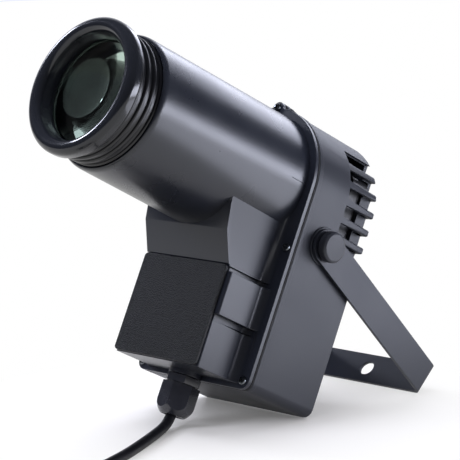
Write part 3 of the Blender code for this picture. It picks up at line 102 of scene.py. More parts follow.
def on_floor(s, ahead, up):
    """The point s to the side, ahead of the lamp's seam and up from the floor, in mm."""
    return Vector((s * MM, middle - ahead * MM, up * MM))


def smooth_route(route, steps):
    """Points read evenly from a smooth curve through the route's points."""
    ends = [2 * route[0] - route[1], *route, 2 * route[-1] - route[-2]]
    points = []
    for before, start, end, after in zip(ends, ends[1:], ends[2:], ends[3:]):
        for step in range(steps):
            t = step / steps
            slope = end - before
            bend = 2 * before - 5 * start + 4 * end - after
            swing = 3 * start - before - 3 * end + after
            points.append(0.5 * (2 * start + slope * t + bend * t ** 2 + swing * t ** 3))
    return points + [route[-1]]


def linear(code):
    """Linear colour from an sRGB hex value."""
    parts = [int(code[i:i + 2], 16) / 255 for i in (1, 3, 5)]
    return [c / 12.92 if c <= 0.04045 else ((c + 0.055) / 1.055) ** 2.4 for c in parts] + [1.0]


def add_node(material, kind, settings={}, links={}):
    """Adds a node with its settings, and links sources to its inputs."""
    node = material.node_tree.nodes.new(kind)
    for name, value in settings.items():
        if isinstance(name, str) and hasattr(node, name):
            setattr(node, name, value)
        else:
            node.inputs[name].default_value = value
    for name, source in links.items():
        material.node_tree.links.new(source, node.inputs[name])
    return node


def start_material(name, surface):
    """An empty material with a principled surface on its output."""
    material = bpy.data.materials.new(name)
    material.use_nodes = True
    material.node_tree.nodes.clear()
    shader = add_node(material, "ShaderNodeBsdfPrincipled", surface)
    add_node(material, "ShaderNodeOutputMaterial", {}, {"Surface": shader.outputs[0]})
    return material, shader


def grained(material, shader, grain, depth, low, high, patch=30.0):
    """Gives a surface its fine grain, in mm, and roughness that drifts between low and high in patches.

    A grain finer than the picture can show is drawn coarser, so that it still softens the shine."""
    place = add_node(material, "ShaderNodeTexCoord").outputs["Object"]
    fine = add_node(material, "ShaderNodeTexNoise",
                    {"Scale": 1 / (grain * MM), "Detail": 3.0, "Roughness": 0.6}, {"Vector": place})
    bump = add_node(material, "ShaderNodeBump", {"Distance": depth * MM, "Strength": 0.6},
                    {"Height": fine.outputs["Fac"]})
    drift = add_node(material, "ShaderNodeTexNoise", {"Scale": 1 / (patch * MM), "Detail": 4.0},
                     {"Vector": place})
    finish = add_node(material, "ShaderNodeMapRange",
                      {"From Min": 0.3, "From Max": 0.7, "To Min": low, "To Max": high},
                      {"Value": drift.outputs["Fac"]})
    material.node_tree.links.new(bump.outputs["Normal"], shader.inputs["Normal"])
    material.node_tree.links.new(finish.outputs["Result"], shader.inputs["Roughness"])
    return drift


def shaded(material, shader, drift, dark, light):
    """Lets a colour drift between two close shades, as moulded and painted surfaces do."""
    mix = add_node(material, "ShaderNodeMix", {"data_type": "RGBA", 6: linear(dark), 7: linear(light)},
                   {0: drift.outputs["Fac"]})
    material.node_tree.links.new(mix.outputs[2], shader.inputs["Base Color"])


def only(piece):
    """Selects this piece alone and makes it active."""
    bpy.ops.object.select_all(action="DESELECT")
    piece.select_set(True)
    bpy.context.view_layer.objects.active = piece


def finish_piece(piece, name, body, slot, material, *stands_for):
    """Names a piece, gives it its material, and sets it on its CAD body in place of CAD nodes."""
    piece.name = name
    piece.data.name = name
    piece.data.materials.clear()
    piece.data.materials.append(material)
    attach(piece, body)
    if stands_for:
        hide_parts(*stands_for)
    return piece


def coil_turns():
    """Two layers: spiral in, climb a layer in the half turn where it reverses, spiral out."""
    count = round(COIL_TURNS * COIL_POINTS)
    points = []
    for index in range(count + 1):
        turn = COIL_TURNS * index / count
        radius = COIL_RADIUS - COIL_PITCH * min(turn, COIL_TURNS - turn)
        climb = min(max((turn - COIL_TURNS / 2) / CLIMB_TURNS + 0.5, 0.0), 1.0)
        height = LOWER_LAYER + COIL_PITCH * climb * climb * (3 - 2 * climb)
        angle = COIL_START + 2 * pi * turn
        across = COIL_CENTRE[0] + radius * cos(angle)
        ahead = COIL_CENTRE[1] + radius * sin(angle)
        points.append(on_floor(across, ahead, height))
    return points


def level(step):
    """The direction of a step, held level."""
    return Vector((step.x, step.y, 0)).normalized()


coil = coil_turns()
lead_in = level(coil[1] - coil[0])
lead_out = level(coil[-1] - coil[-2])
coil_start = coil[0] - lead_in * CORD * MM
coil_end = coil[-1] + lead_out * CORD * MM
route = [at(0, GLAND_A, CORD_START + depth) for depth in CORD_IN_GLAND]
route += [on_floor(*point) for point in CORD_ROUTE]
route += [coil_start - lead_in * 2 * CORD * MM, coil_start]
cord_points = smooth_route(route, ROUTE_STEPS) + coil + [coil_end]

cord_curve = bpy.data.curves.new("mains_cord", "CURVE")
cord_curve.dimensions = "3D"
cord_curve.bevel_depth = CORD / 2 * MM
cord_curve.bevel_resolution = 5
cord_curve.use_fill_caps = True
spline = cord_curve.splines.new("POLY")
spline.points.add(len(cord_points) - 1)
for point, place in zip(spline.points, cord_points):
    point.co = (*place, 1.0)
spline.use_smooth = True
mains_cord = bpy.data.objects.new("mains_cord", cord_curve)
bpy.context.scene.collection.objects.link(mains_cord)

pvc_sheath, pvc_shader = start_material("extruded_pvc_sheath", {"IOR": 1.5, "Specular IOR Level": 0.2})
pvc_drift = grained(pvc_sheath, pvc_shader, 0.7, 0.04, 0.42, 0.55, 12.0)
shaded(pvc_sheath, pvc_shader, pvc_drift, "#0b0b0e", "#141418")
finish_piece(mains_cord, "mains_cord", "housing", "cord_jacket", pvc_sheath, "power_cord", "cord_coil")

# Plug and ties. A moulded plug with a ribbed, tapered strain relief closes the cord, and two woven
# nylon straps hold the coil. The plug is PVC too, but with a moulded matt skin.
PLUG_RELIEF = 24.0
RELIEF_SLIM = CORD * 0.62
RELIEF_PLACE = 0.3
RELIEF_RIBS = 6
FIRST_RIB = 2.0
RIB_STRETCH = PLUG_RELIEF - 3.0
RIB_HEIGHT = 0.45
RIB_WIDTH = 2.0
RIB_DRAFT = 0.15
WELD = 0.01
TURNED_WELD = 0.002
FLAT_ANGLE = radians(0.5)
SMOOTH_ANGLE = radians(32)
CORNER_ANGLE = radians(28)
FULL_SEGMENTS = 5
EVEN_WEIGHT = 80


def finished_copy(node, rounding, least=1.5, sharp=35.0, steps=2, full=None, full_rounding=0.0):
    """A welded copy of a CAD node with whole flat faces and its long outer edges rounded, sizes in mm.

    Edges that full picks are rounded more than the others, by full_rounding."""
    piece = bpy.data.objects.new(node + "_finish", nodes[node].data.copy())
    bpy.context.scene.collection.objects.link(piece)
    only(piece)
    bpy.ops.object.mode_set(mode="EDIT")
    bpy.ops.mesh.select_mode(type="EDGE")
    bpy.ops.mesh.select_all(action="SELECT")
    bpy.ops.mesh.remove_doubles(threshold=WELD * MM)
    bpy.ops.mesh.dissolve_limited(angle_limit=FLAT_ANGLE)
    bpy.ops.mesh.select_all(action="DESELECT")
    if full:
        work = bmesh.from_edit_mesh(piece.data)
        for edge in work.edges:
            edge.select = len(edge.link_faces) == 2 and edge.is_convex and full(edge)
        bmesh.update_edit_mesh(piece.data)
        bpy.ops.mesh.bevel(offset=full_rounding * MM, segments=FULL_SEGMENTS, profile=0.5,
                           clamp_overlap=False)
        bpy.ops.mesh.select_all(action="DESELECT")
    work = bmesh.from_edit_mesh(piece.data)
    for edge in work.edges:
        if len(edge.link_faces) == 2 and edge.is_convex and edge.calc_length() > least * MM:
            edge.select = edge.calc_face_angle() > radians(sharp)
    bmesh.update_edit_mesh(piece.data)
    if rounding:
        bpy.ops.mesh.bevel(offset=rounding * MM, segments=steps, profile=0.5, clamp_overlap=False)
    bpy.ops.object.mode_set(mode="OBJECT")
    bpy.ops.object.shade_smooth_by_angle(angle=SMOOTH_ANGLE)
    even = piece.modifiers.new("even_shading", "WEIGHTED_NORMAL")
    even.keep_sharp = True
    even.weight = EVEN_WEIGHT
    bpy.ops.object.modifier_apply(modifier=even.name)
    return piece


def turned(rings, place, closed=True, rounding=0.0, sides=144, steps=3):
    """Turns a piece from rings of (radius, height) in mm: a circle is extruded and scaled ring by ring."""
    bpy.ops.object.select_all(action="DESELECT")
    radius, height = rings[0]
    bpy.ops.mesh.primitive_circle_add(vertices=sides, radius=radius * MM, location=(0, 0, height * MM))
    piece = bpy.context.object
    bpy.ops.object.mode_set(mode="EDIT")
    for next_radius, next_height in list(rings[1:]) + (list(rings[:1]) if closed else []):
        rise = (next_height - height) * MM
        bpy.ops.mesh.extrude_region_move(TRANSFORM_OT_translate={"value": (0, 0, rise)})
        scale = next_radius / radius
        bpy.ops.transform.resize(value=(scale, scale, 1), center_override=(0, 0, 0))
        radius, height = next_radius, next_height
    bpy.ops.mesh.select_all(action="SELECT")
    bpy.ops.mesh.remove_doubles(threshold=TURNED_WELD * MM)
    bpy.ops.mesh.fill_holes(sides=0)
    bpy.ops.mesh.normals_make_consistent(inside=False)
    bpy.ops.object.mode_set(mode="OBJECT")
    if rounding:
        edge = piece.modifiers.new("rounding", "BEVEL")
        edge.width = rounding * MM
        edge.segments = steps
        edge.limit_method = "ANGLE"
        edge.angle_limit = CORNER_ANGLE
        bpy.ops.object.modifier_apply(modifier=edge.name)
    return settled(piece, place)


def settled(piece, place):
    """Moves a piece modelled on the origin to its place, and puts the place in its mesh."""
    only(piece)
    piece.matrix_world = place @ piece.matrix_world
    bpy.ops.object.transform_apply(location=True, rotation=True, scale=True)
    bpy.ops.object.shade_smooth_by_angle(angle=SMOOTH_ANGLE)
    return piece


def frame_on(origin, up, across):
    """The matrix of a local frame on an origin, with its Z along up and its X along across."""
    z = up.normalized()
    y = z.cross(across).normalized()
    x = y.cross(z)
    turn = Matrix((x, y, z)).transposed()
    return Matrix.Translation(origin) @ turn.to_4x4()


plug_rubber, plug_shader = start_material("moulded_pvc_plug", {"IOR": 1.53})
plug_drift = grained(plug_rubber, plug_shader, 0.5, 0.05, 0.5, 0.62, 10.0)
shaded(plug_rubber, plug_shader, plug_drift, "#18181a", "#222225")
plug = finished_copy("plug_body", 0.5, least=3.0)
finish_piece(plug, "moulded_plug", "housing", "cord_jacket", plug_rubber, "plug_body")

relief_place = frame_on(coil_end + lead_out * RELIEF_PLACE * MM, lead_out, Vector((0, 0, 1)))
ribs = []
for index in range(RELIEF_RIBS):
    start = FIRST_RIB + index * RIB_STRETCH / RELIEF_RIBS
    end = start + RIB_WIDTH
    reach = RELIEF_SLIM + (CORD - RELIEF_SLIM) * start / PLUG_RELIEF + RIB_HEIGHT
    ribs.append(turned([(CORD / 2, start), (reach, start), (reach + RIB_DRAFT, end), (CORD / 2, end)],
                       relief_place, rounding=0.3, sides=40, steps=2))
only(ribs[0])
for rib in ribs:
    rib.select_set(True)
bpy.ops.object.join()
finish_piece(ribs[0], "strain_relief_ribs", "housing", "cord_jacket", plug_rubber)

brass, brass_shader = start_material("bright_dipped_brass", {"Metallic": 1.0})
brass_drift = grained(brass, brass_shader, 0.3, 0.01, 0.22, 0.38, 6.0)
shaded(brass, brass_shader, brass_drift, "#b58b3c", "#d8b569")
contacts = finished_copy("plug_contacts", 0.25, least=1.0)
finish_piece(contacts, "plug_blades", "housing", "brass", brass, "plug_contacts")

THREADS = 0.8
WAVES_PER_THREAD = 0.3
strap_weave, strap_shader = start_material("woven_nylon_strap", {"Roughness": 0.85, "Sheen Weight": 0.3})
strap_place = add_node(strap_weave, "ShaderNodeTexCoord").outputs["Object"]
thread_scale = WAVES_PER_THREAD / (THREADS * MM)
weave = add_node(strap_weave, "ShaderNodeTexWave", {"Scale": thread_scale, "Distortion": 1.5},
                 {"Vector": strap_place})
weft = add_node(strap_weave, "ShaderNodeTexWave", {"Scale": thread_scale, "bands_direction": "Z"},
                {"Vector": strap_place})
weave_height_and_shade = add_node(strap_weave, "ShaderNodeMath", {"operation": "MULTIPLY"},
                 {0: weave.outputs["Fac"], 1: weft.outputs["Fac"]})
strap_bump = add_node(strap_weave, "ShaderNodeBump", {"Distance": 0.15 * MM}, {"Height": weave_height_and_shade.outputs[0]})
# Painted shade: the weave's colour is darker in its hollows and lighter on its raised threads, as light would
# fall on it.
strap_weave_shade = add_node(strap_weave, "ShaderNodeMix",
                      {"data_type": "RGBA", 6: linear("#101012"), 7: linear("#2a2a2e")},
                      {0: weave_height_and_shade.outputs[0]})
strap_weave.node_tree.links.new(strap_bump.outputs["Normal"], strap_shader.inputs["Normal"])
strap_weave.node_tree.links.new(strap_weave_shade.outputs[2], strap_shader.inputs["Base Color"])
for number in (1, 2):
    strap = finished_copy("cord_tie_%d" % number, 0.3, least=0.5)
    finish_piece(strap, "coil_strap_%d" % number, "housing", "satin_black_plastic", strap_weave,
                 "cord_tie_%d" % number)

# Front shell. The barrel, the block under it and the flange are one die-cast piece with a satin black
# coat. The barrel is turned smooth before coating, so it shines more than the block, and a short raised
# parting line is left on each side next to the flange.
BARREL_RADIUS = 45.0
BARREL_LENGTH = 135.0
BARREL_TAPER = 1.3
BARREL_BORE = 41.45
BARREL_LAP = 1.0
FLANGE_FRONT = 3.8
SEAM = 0.8
SKIN = 0.14
MOUTH_DROP = 1.7
MOUTH_CURVE = 4.0
MOUTH_STEPS = 12
MOUTH_INSET = 0.4
PARTING_LENGTH = 13.0
PARTING_WIDTH = 0.5
PARTING_HEIGHT = 0.7
PARTING_ROUND = 0.16
PARTING_SINK = 0.15
PARTING_D = -1.0

barrel_place = frame_on(seam_centre, forward, side)
satin_coat, satin_shader = start_material("satin_black_coat", {"IOR": 1.5})
satin_drift = grained(satin_coat, satin_shader, 0.6, 0.02, 0.31, 0.36)
shaded(satin_coat, satin_shader, satin_drift, "#23262e", "#2a2d36")


def barrel_radius(a):
    """Outer radius at a of the tapered barrel, whose turned skin covers the casting, in mm."""
    return BARREL_RADIUS + SKIN - BARREL_TAPER * (a - SEAM) / (BARREL_LENGTH - SEAM)


front_shell = finished_copy("front_shell", 0.45)
finish_piece(front_shell, "front_casting", "housing", "painted_shell", satin_coat, "front_shell")
mouth_turns = [pi / 2 * step / MOUTH_STEPS for step in range(MOUTH_STEPS + 1)]
mouth_radius = barrel_radius(BARREL_LENGTH)
mouth = [(mouth_radius - MOUTH_DROP * (1 - cos(t)), BARREL_LENGTH + SKIN - MOUTH_CURVE * (1 - sin(t)))
         for t in mouth_turns]
barrel_rear = FLANGE_FRONT - BARREL_LAP
barrel = turned([(barrel_radius(barrel_rear), barrel_rear), *mouth,
                 (BARREL_BORE, BARREL_LENGTH - MOUTH_INSET), (BARREL_BORE, barrel_rear)], barrel_place)
turned_coat, turned_shader = start_material("turned_satin_coat", {"IOR": 1.5, "Specular IOR Level": 0.6})
turned_drift = grained(turned_coat, turned_shader, 0.6, 0.015, 0.26, 0.31)
shaded(turned_coat, turned_shader, turned_drift, "#20232b", "#272a33")
finish_piece(barrel, "barrel_surface", "housing", "painted_shell", turned_coat)
for name, outward in (("left_parting_line", side), ("right_parting_line", -side)):
    bpy.ops.object.select_all(action="DESELECT")
    bpy.ops.mesh.primitive_cube_add(size=MM, scale=(PARTING_LENGTH, PARTING_WIDTH, PARTING_HEIGHT))
    parting = bpy.context.object
    bpy.ops.object.transform_apply(location=True, rotation=True, scale=True)
    bpy.ops.object.mode_set(mode="EDIT")
    bpy.ops.mesh.select_all(action="SELECT")
    bpy.ops.mesh.bevel(offset=PARTING_ROUND * MM, segments=2)
    bpy.ops.object.mode_set(mode="OBJECT")
    middle_a = FLANGE_FRONT + PARTING_LENGTH / 2
    middle_s = outward.x * (barrel_radius(middle_a) - PARTING_SINK)
    settled(parting, frame_on(at(middle_s, middle_a, PARTING_D), outward, forward))
    finish_piece(parting, name, "housing", "painted_shell", satin_coat)

# Front panel. A separate moulded cover closes the block under the brow. Its face has a leather grain
# of small raised cells, with painted shade in the valleys between them, which makes it the dullest and
# darkest face of the lamp.
LEATHER_CELL = 1.1

leather, leather_shader = start_material("leather_grained_abs", {"IOR": 1.46})
leather_place = add_node(leather, "ShaderNodeTexCoord").outputs["Object"]
cells = add_node(leather, "ShaderNodeTexVoronoi",
                 {"feature": "DISTANCE_TO_EDGE", "Scale": 1 / (LEATHER_CELL * MM)}, {"Vector": leather_place})
valley_height_and_shade = add_node(leather, "ShaderNodeMapRange", {"From Min": 0.0, "From Max": 0.25},
                  {"Value": cells.outputs["Distance"]})
leather_bump = add_node(leather, "ShaderNodeBump", {"Distance": 0.18 * MM, "Strength": 0.9},
                        {"Height": valley_height_and_shade.outputs["Result"]})
# Painted shade: the colour darkens in the valleys between the cells, where shade would fall.
leather_valley_shade = add_node(leather, "ShaderNodeMix",
                        {"data_type": "RGBA", 6: linear("#0c0d0f"), 7: linear("#1e2023")},
                        {0: valley_height_and_shade.outputs["Result"]})
leather.node_tree.links.new(leather_bump.outputs["Normal"], leather_shader.inputs["Normal"])
leather.node_tree.links.new(leather_valley_shade.outputs[2], leather_shader.inputs["Base Color"])
leather_shader.inputs["Roughness"].default_value = 0.55
panel = finished_copy("front_panel", 0.6)
finish_piece(panel, "grained_cover", "housing", "grained_panel", leather, "front_panel")

# Seam gasket. A thin black rubber sheet is clamped between the shells, and shows as a dark line
# with its edge a little inside theirs.
rubber, rubber_shader = start_material("moulded_nitrile_rubber", {"IOR": 1.52})
rubber_drift = grained(rubber, rubber_shader, 0.5, 0.04, 0.7, 0.85, 8.0)
shaded(rubber, rubber_shader, rubber_drift, "#0d0d0e", "#161617")


def coated(node, material):
    """Gives a CAD node that needs no finished copy its material."""
    nodes[node].data.materials.clear()
    nodes[node].data.materials.append(material)


for name in ("seam_gasket", "focus_seal", "gland_seal"):
    coated(name, rubber)

# Rear shell. A deep cover of the same metal and coat, with rounded outer edges, vent slots that
# leave bars between them along both sides, and a raised rim beside the gasket. Its copy of the coat is
# made darker with a weaker shine, as painted shade for the light falling off toward the rear.
REAR_HALF = 49.3
SLOT_START = 32.0
SLOT_DEPTH = 6.4
FIN_FIRST = -30.0
FIN_LAST = 32.0
FIN_ROUND = 1.4
LEVEL_FACE = 0.99
UPRIGHT_FACE = 0.8
OUTER_FACE = 0.1
REAR_FACE = 0.5

# Painted shade: a darker copy of the satin coat with weaker shine stands in for the light falling off toward
# the rear.
rear_shaded_coat, rear_shaded_shader = start_material("satin_coat_with_painted_shade", {"IOR": 1.5, "Specular IOR Level": 0.4})
rear_drift = grained(rear_shaded_coat, rear_shaded_shader, 0.6, 0.03, 0.44, 0.5)
shaded(rear_shaded_coat, rear_shaded_shader, rear_drift, "#22252c", "#292b33")


def fin_edge(edge):
    """Whether an edge is between a fin's level face and its outer or rear face."""
    centre = (edge.verts[0].co + edge.verts[1].co) / 2 - seam_centre
    s, a, d = abs(centre.dot(side)) / MM, centre.dot(forward) / MM, centre.dot(down) / MM
    if a > -SLOT_START or not FIN_FIRST < d < FIN_LAST:
        return False
    half_here = sqrt(REAR_HALF ** 2 - min(d, 0) ** 2)
    outward = side if centre.dot(side) > 0 else -side
    flat, other = sorted((face.normal for face in edge.link_faces), key=lambda normal: -abs(normal.dot(down)))
    outer = other.dot(outward) > OUTER_FACE and s > half_here - FIN_ROUND
    rear = other.dot(forward) < -REAR_FACE and s > half_here - SLOT_DEPTH - FIN_ROUND
    return abs(flat.dot(down)) > LEVEL_FACE and abs(other.dot(down)) < UPRIGHT_FACE and (outer or rear)


rear_shell = finished_copy("rear_shell", 0.45, full=fin_edge, full_rounding=FIN_ROUND)
finish_piece(rear_shell, "rear_casting", "housing", "painted_shell", rear_shaded_coat, "rear_shell")

# Housing and heat sink screws. Pan-head screws with a cross recess, of steel with bright zinc plating.
# Head and shaft are turned as one, and the recess is cut into the domed head.
SCREW_HEAD = 2.7
SCREW_HEAD_HEIGHT = 1.8
SCREW_SHAFT = 1.4
SCREW_LENGTH = 12.0
CROSS_WIDTH = 0.8
CROSS_LENGTH = 3.0
CROSS_DEPTH = 1.1
SCREW_DOME = ((1.0, 0.45), (0.9, 0.78), (0.6, 0.96), (0.2, 1.0))
SCREW_SEAT = 4.1
SINK_ANGLES = (30, 150, 270)
SCREW_PLACES = ((0.0, -49.6), (46.2, 40.2), (-46.2, 40.2), (45.4, 126.6), (-45.4, 126.6))
SINK_SCREW_RADIUS = 41.8
SINK_SEAT = -3.8
SINK_SCREW_LENGTH = 11.0

zinc, zinc_shader = start_material("zinc_plated_steel", {"Metallic": 1.0})
zinc_drift = grained(zinc, zinc_shader, 0.25, 0.01, 0.22, 0.36, 3.0)
shaded(zinc, zinc_shader, zinc_drift, "#565a5e", "#85898d")


def cross_head_screw(length, place):
    """A domed pan-head screw on its axis, with its cross recess cut in."""
    head_dome = [(SCREW_HEAD * radius, SCREW_HEAD_HEIGHT * height) for radius, height in SCREW_DOME]
    screw = turned([(SCREW_SHAFT, -length), (SCREW_SHAFT, 0), (SCREW_HEAD, 0), *head_dome],
                   Matrix.Identity(4), closed=False, sides=40)
    for turn in (0, pi / 2):
        bpy.ops.object.select_all(action="DESELECT")
        bpy.ops.mesh.primitive_cube_add(size=1, location=(0, 0, SCREW_HEAD_HEIGHT * MM),
                                        rotation=(0, 0, turn),
                                        scale=(CROSS_LENGTH * MM, CROSS_WIDTH * MM, 2 * CROSS_DEPTH * MM))
        recess = bpy.context.object
        cut = screw.modifiers.new("recess", "BOOLEAN")
        cut.operation = "DIFFERENCE"
        cut.solver = "EXACT"
        cut.object = recess
        only(screw)
        bpy.ops.object.modifier_apply(modifier=cut.name)
        bpy.data.objects.remove(recess, do_unlink=True)
    return settled(screw, place)


for number, (s, d) in enumerate(SCREW_PLACES, 1):
    turn = side * cos(number) + down * sin(number)
    screw = cross_head_screw(SCREW_LENGTH, frame_on(at(s, SCREW_SEAT, d), forward, turn))
    finish_piece(screw, "cross_head_screw_%d" % number, "housing", "zinc_plated_steel", zinc,
                 "housing_screw_%d" % number)
for number, angle in enumerate(SINK_ANGLES, 1):
    s, d = SINK_SCREW_RADIUS * cos(radians(angle)), SINK_SCREW_RADIUS * sin(radians(angle))
    screw = cross_head_screw(SINK_SCREW_LENGTH, frame_on(at(s, SINK_SEAT, d), -forward, side))
    finish_piece(screw, "sink_screw_%d" % number, "housing", "zinc_plated_steel", zinc,
                 "heat_sink_screw_%d" % number)

# Lens tube. Turned aluminium with coarse thread ridges that run in the barrel for focusing, anodised
# black. The ridges' rounded crests shine, and the core between them stays dark.
TUBE_CREST = 41.4
TUBE_CORE = 40.0
TUBE_BORE = 36.4
BEZEL_REAR = 153.2
TUBE_LENGTH = 48.2
TUBE_REAR = BEZEL_REAR - TUBE_LENGTH
PLAY = 0.3
NECK_RADIUS = 37.0
NECK_LENGTH = 1.8
LENS_RADIUS = 34.0
LENS_SEAT_DEPTH = 7.2
LENS_SEAT = BEZEL_REAR - LENS_SEAT_DEPTH
LENS_EDGE = 3.4
LENS_CROWN = 4.2
THREAD_PITCH = 5.4
THREAD_TURNS = 4
CREST_HALF = 1.45
CREST_STEPS = 10
FIRST_CREST = 1.8
SEAL_GROOVE = 38.6
GROOVE_HALF = 1.8

tube_anodised, tube_shader = start_material("black_anodised_tube", {"IOR": 1.5, "Specular IOR Level": 0.5})
tube_drift = grained(tube_anodised, tube_shader, 0.3, 0.008, 0.26, 0.34, 15.0)
shaded(tube_anodised, tube_shader, tube_drift, "#101114", "#16171b")
shoulder = BEZEL_REAR - PLAY
neck_end = shoulder + NECK_LENGTH
lens_bore = LENS_RADIUS + PLAY
tube_rings = [(lens_bore, neck_end), (NECK_RADIUS, neck_end), (NECK_RADIUS, shoulder), (TUBE_CORE, shoulder)]
for turn in range(THREAD_TURNS):
    crest = BEZEL_REAR - FIRST_CREST - turn * THREAD_PITCH
    tube_rings += [(TUBE_CORE + (TUBE_CREST - TUBE_CORE) * sin(pi * step / CREST_STEPS),
                    crest + CREST_HALF * cos(pi * step / CREST_STEPS)) for step in range(CREST_STEPS + 1)]
seat = LENS_SEAT - 2 * PLAY - LENS_EDGE
groove_front, groove_rear = SEAL_PLACE + GROOVE_HALF, SEAL_PLACE - GROOVE_HALF
tube_rings += [(TUBE_CORE, groove_front), (SEAL_GROOVE, groove_front), (SEAL_GROOVE, groove_rear),
               (TUBE_CORE, groove_rear), (TUBE_CORE, TUBE_REAR), (TUBE_BORE, TUBE_REAR),
               (TUBE_BORE, seat - LENS_EDGE), (lens_bore, seat)]
lens_tube = turned(tube_rings, barrel_place, rounding=0.15, steps=2)
finish_piece(lens_tube, "focusing_tube", "focus_tube", "satin_black_plastic", tube_anodised, "lens_tube")

# Bezel and retaining ring. The bead round the lens is a polished, deep black ring, fully rounded at
# the front, which reflects the room as sharp white lines. A plain ring holds the lens from behind.
BEZEL_RADIUS = 43.7
BEAD_WIDTH = 9.5
BEZEL_LENGTH = 9.2
BEZEL_CHAMFER = 1.0
BEZEL_FRONT = BEZEL_REAR + BEZEL_LENGTH
BEAD_STEPS = 28
LENS_LAP = 1.2

gloss_black, gloss_shader = start_material("polished_black_ring", {
    "IOR": 1.5, "Specular IOR Level": 0.4, "Coat Weight": 0.25, "Coat Roughness": 0.06})
gloss_drift = grained(gloss_black, gloss_shader, 2.0, 0.004, 0.16, 0.22, 20.0)
shaded(gloss_black, gloss_shader, gloss_drift, "#1c1e22", "#24262c")
bead = BEAD_WIDTH / 2
bead_turns = [pi * step / BEAD_STEPS for step in range(BEAD_STEPS + 1)]
bead_arc = [(BEZEL_RADIUS - bead - bead * cos(t), BEZEL_FRONT - bead + bead * sin(t)) for t in bead_turns]
sphere = (LENS_RADIUS ** 2 + LENS_CROWN ** 2) / (2 * LENS_CROWN)
clear = LENS_RADIUS - LENS_LAP
lip = LENS_SEAT + LENS_EDGE + LENS_CROWN - (sphere - sqrt(sphere ** 2 - clear ** 2)) + 2 * PLAY
neck_front = BEZEL_REAR + NECK_LENGTH
bezel_bore = NECK_RADIUS + PLAY
bezel_rings = [*bead_arc, (BEZEL_RADIUS, BEZEL_REAR + BEZEL_CHAMFER),
               (BEZEL_RADIUS - BEZEL_CHAMFER, BEZEL_REAR), (bezel_bore, BEZEL_REAR), (bezel_bore, neck_front),
               (LENS_RADIUS, neck_front), (LENS_RADIUS, lip + LENS_LAP), (clear, lip), (clear, neck_front)]
bezel = turned(bezel_rings, barrel_place, rounding=0.25)
finish_piece(bezel, "bead_bezel", "focus_tube", "gloss_black", gloss_black, "lens_bezel")
ring_front = LENS_SEAT - PLAY
ring_rear = ring_front - LENS_EDGE
retainer = turned([(clear, ring_front), (LENS_RADIUS, ring_front),
                   (LENS_RADIUS, ring_rear), (clear, ring_rear)], barrel_place, rounding=0.3)
finish_piece(retainer, "lens_ring", "focus_tube", "satin_black_plastic", tube_anodised, "lens_retainer")

# Lens. A thick biconvex lens of optical crown glass, ground and polished, whose steeper rear face
# mirrors the room as a pale crescent near its rim. The glass is clear with a faint green cast.
LENS_STEPS = 24
REAR_CROWN = 9.6
SMEAR = 9.0

lens_glass, glass_shader = start_material("polished_crown_glass", {
    "IOR": 1.517, "Transmission Weight": 1.0, "Roughness": 0.0, "Specular IOR Level": 0.3,
    "Base Color": linear("#c0d6ca")})
smear_place = add_node(lens_glass, "ShaderNodeTexCoord").outputs["Object"]
smear = add_node(lens_glass, "ShaderNodeTexNoise", {"Scale": 1 / (SMEAR * MM), "Detail": 5.0},
                 {"Vector": smear_place})
smear_amount = add_node(lens_glass, "ShaderNodeMapRange",
                        {"From Min": 0.5, "From Max": 0.9, "To Min": 0.0, "To Max": 0.015},
                        {"Value": smear.outputs["Fac"]})
lens_glass.node_tree.links.new(smear_amount.outputs["Result"], glass_shader.inputs["Roughness"])
half_angle = asin(LENS_RADIUS / sphere)
lens_front = LENS_SEAT + LENS_EDGE + LENS_CROWN
dome_turns = [half_angle * step / LENS_STEPS for step in range(LENS_STEPS, 0, -1)]
dome = [(sphere * sin(t), lens_front - sphere * (1 - cos(t))) for t in dome_turns]
rear_sphere = (clear ** 2 + REAR_CROWN ** 2) / (2 * REAR_CROWN)
rear_angle = asin(clear / rear_sphere)
lens_rear = LENS_SEAT - REAR_CROWN
bowl_turns = [rear_angle * step / LENS_STEPS for step in range(1, LENS_STEPS + 1)]
bowl = [(rear_sphere * sin(t), lens_rear + rear_sphere * (1 - cos(t))) for t in bowl_turns]
lens = turned([*bowl, (LENS_RADIUS, LENS_SEAT), *dome], barrel_place, closed=False)
finish_piece(lens, "objective_lens", "focus_tube", "clear_glass", lens_glass, "lens")

# Light engine. A moulded clear optic gathers the light of one emitter under a silicone dome, on a
# white-masked aluminium board, held to the collar by a black moulded flange.
clear_pc, clear_shader = start_material("clear_polycarbonate", {
    "IOR": 1.585, "Transmission Weight": 1.0, "Base Color": linear("#eef3f4")})
grained(clear_pc, clear_shader, 3.0, 0.005, 0.02, 0.06, 10.0)
phosphor, phosphor_shader = start_material("yellow_phosphor_dome", {"IOR": 1.41, "Coat Weight": 1.0})
phosphor_drift = grained(phosphor, phosphor_shader, 0.4, 0.01, 0.2, 0.35, 2.0)
shaded(phosphor, phosphor_shader, phosphor_drift, "#d9ae2e", "#f0d368")
white_mask, mask_shader = start_material("white_solder_mask", {"IOR": 1.5})
mask_drift = grained(white_mask, mask_shader, 0.5, 0.01, 0.3, 0.45, 5.0)
shaded(white_mask, mask_shader, mask_drift, "#dcdedb", "#ececea")
matt_black, matt_shader = start_material("matt_moulded_black", {"IOR": 1.48})
matt_drift = grained(matt_black, matt_shader, 0.5, 0.03, 0.6, 0.75, 12.0)
shaded(matt_black, matt_shader, matt_drift, "#0b0b0c", "#131315")
for name, coat in (("collimator_lens", clear_pc), ("led_emitter", phosphor), ("led_board", white_mask),
                   ("collimator_holder", matt_black)):
    coated(name, coat)

# Heat sink. An aluminium disc with straight fins stands behind the board, in front of the fan. It is
# milled and left bare, so it keeps a fine grain and a soft metal shine.
milled, milled_shader = start_material("milled_aluminium", {"Metallic": 1.0})
milled_drift = grained(milled, milled_shader, 0.4, 0.02, 0.3, 0.42, 8.0)
shaded(milled, milled_shader, milled_drift, "#8d9194", "#b4b7b9")
sink = finished_copy("heat_sink", 0.2)
finish_piece(sink, "finned_sink", "housing", "aluminium", milled, "heat_sink")

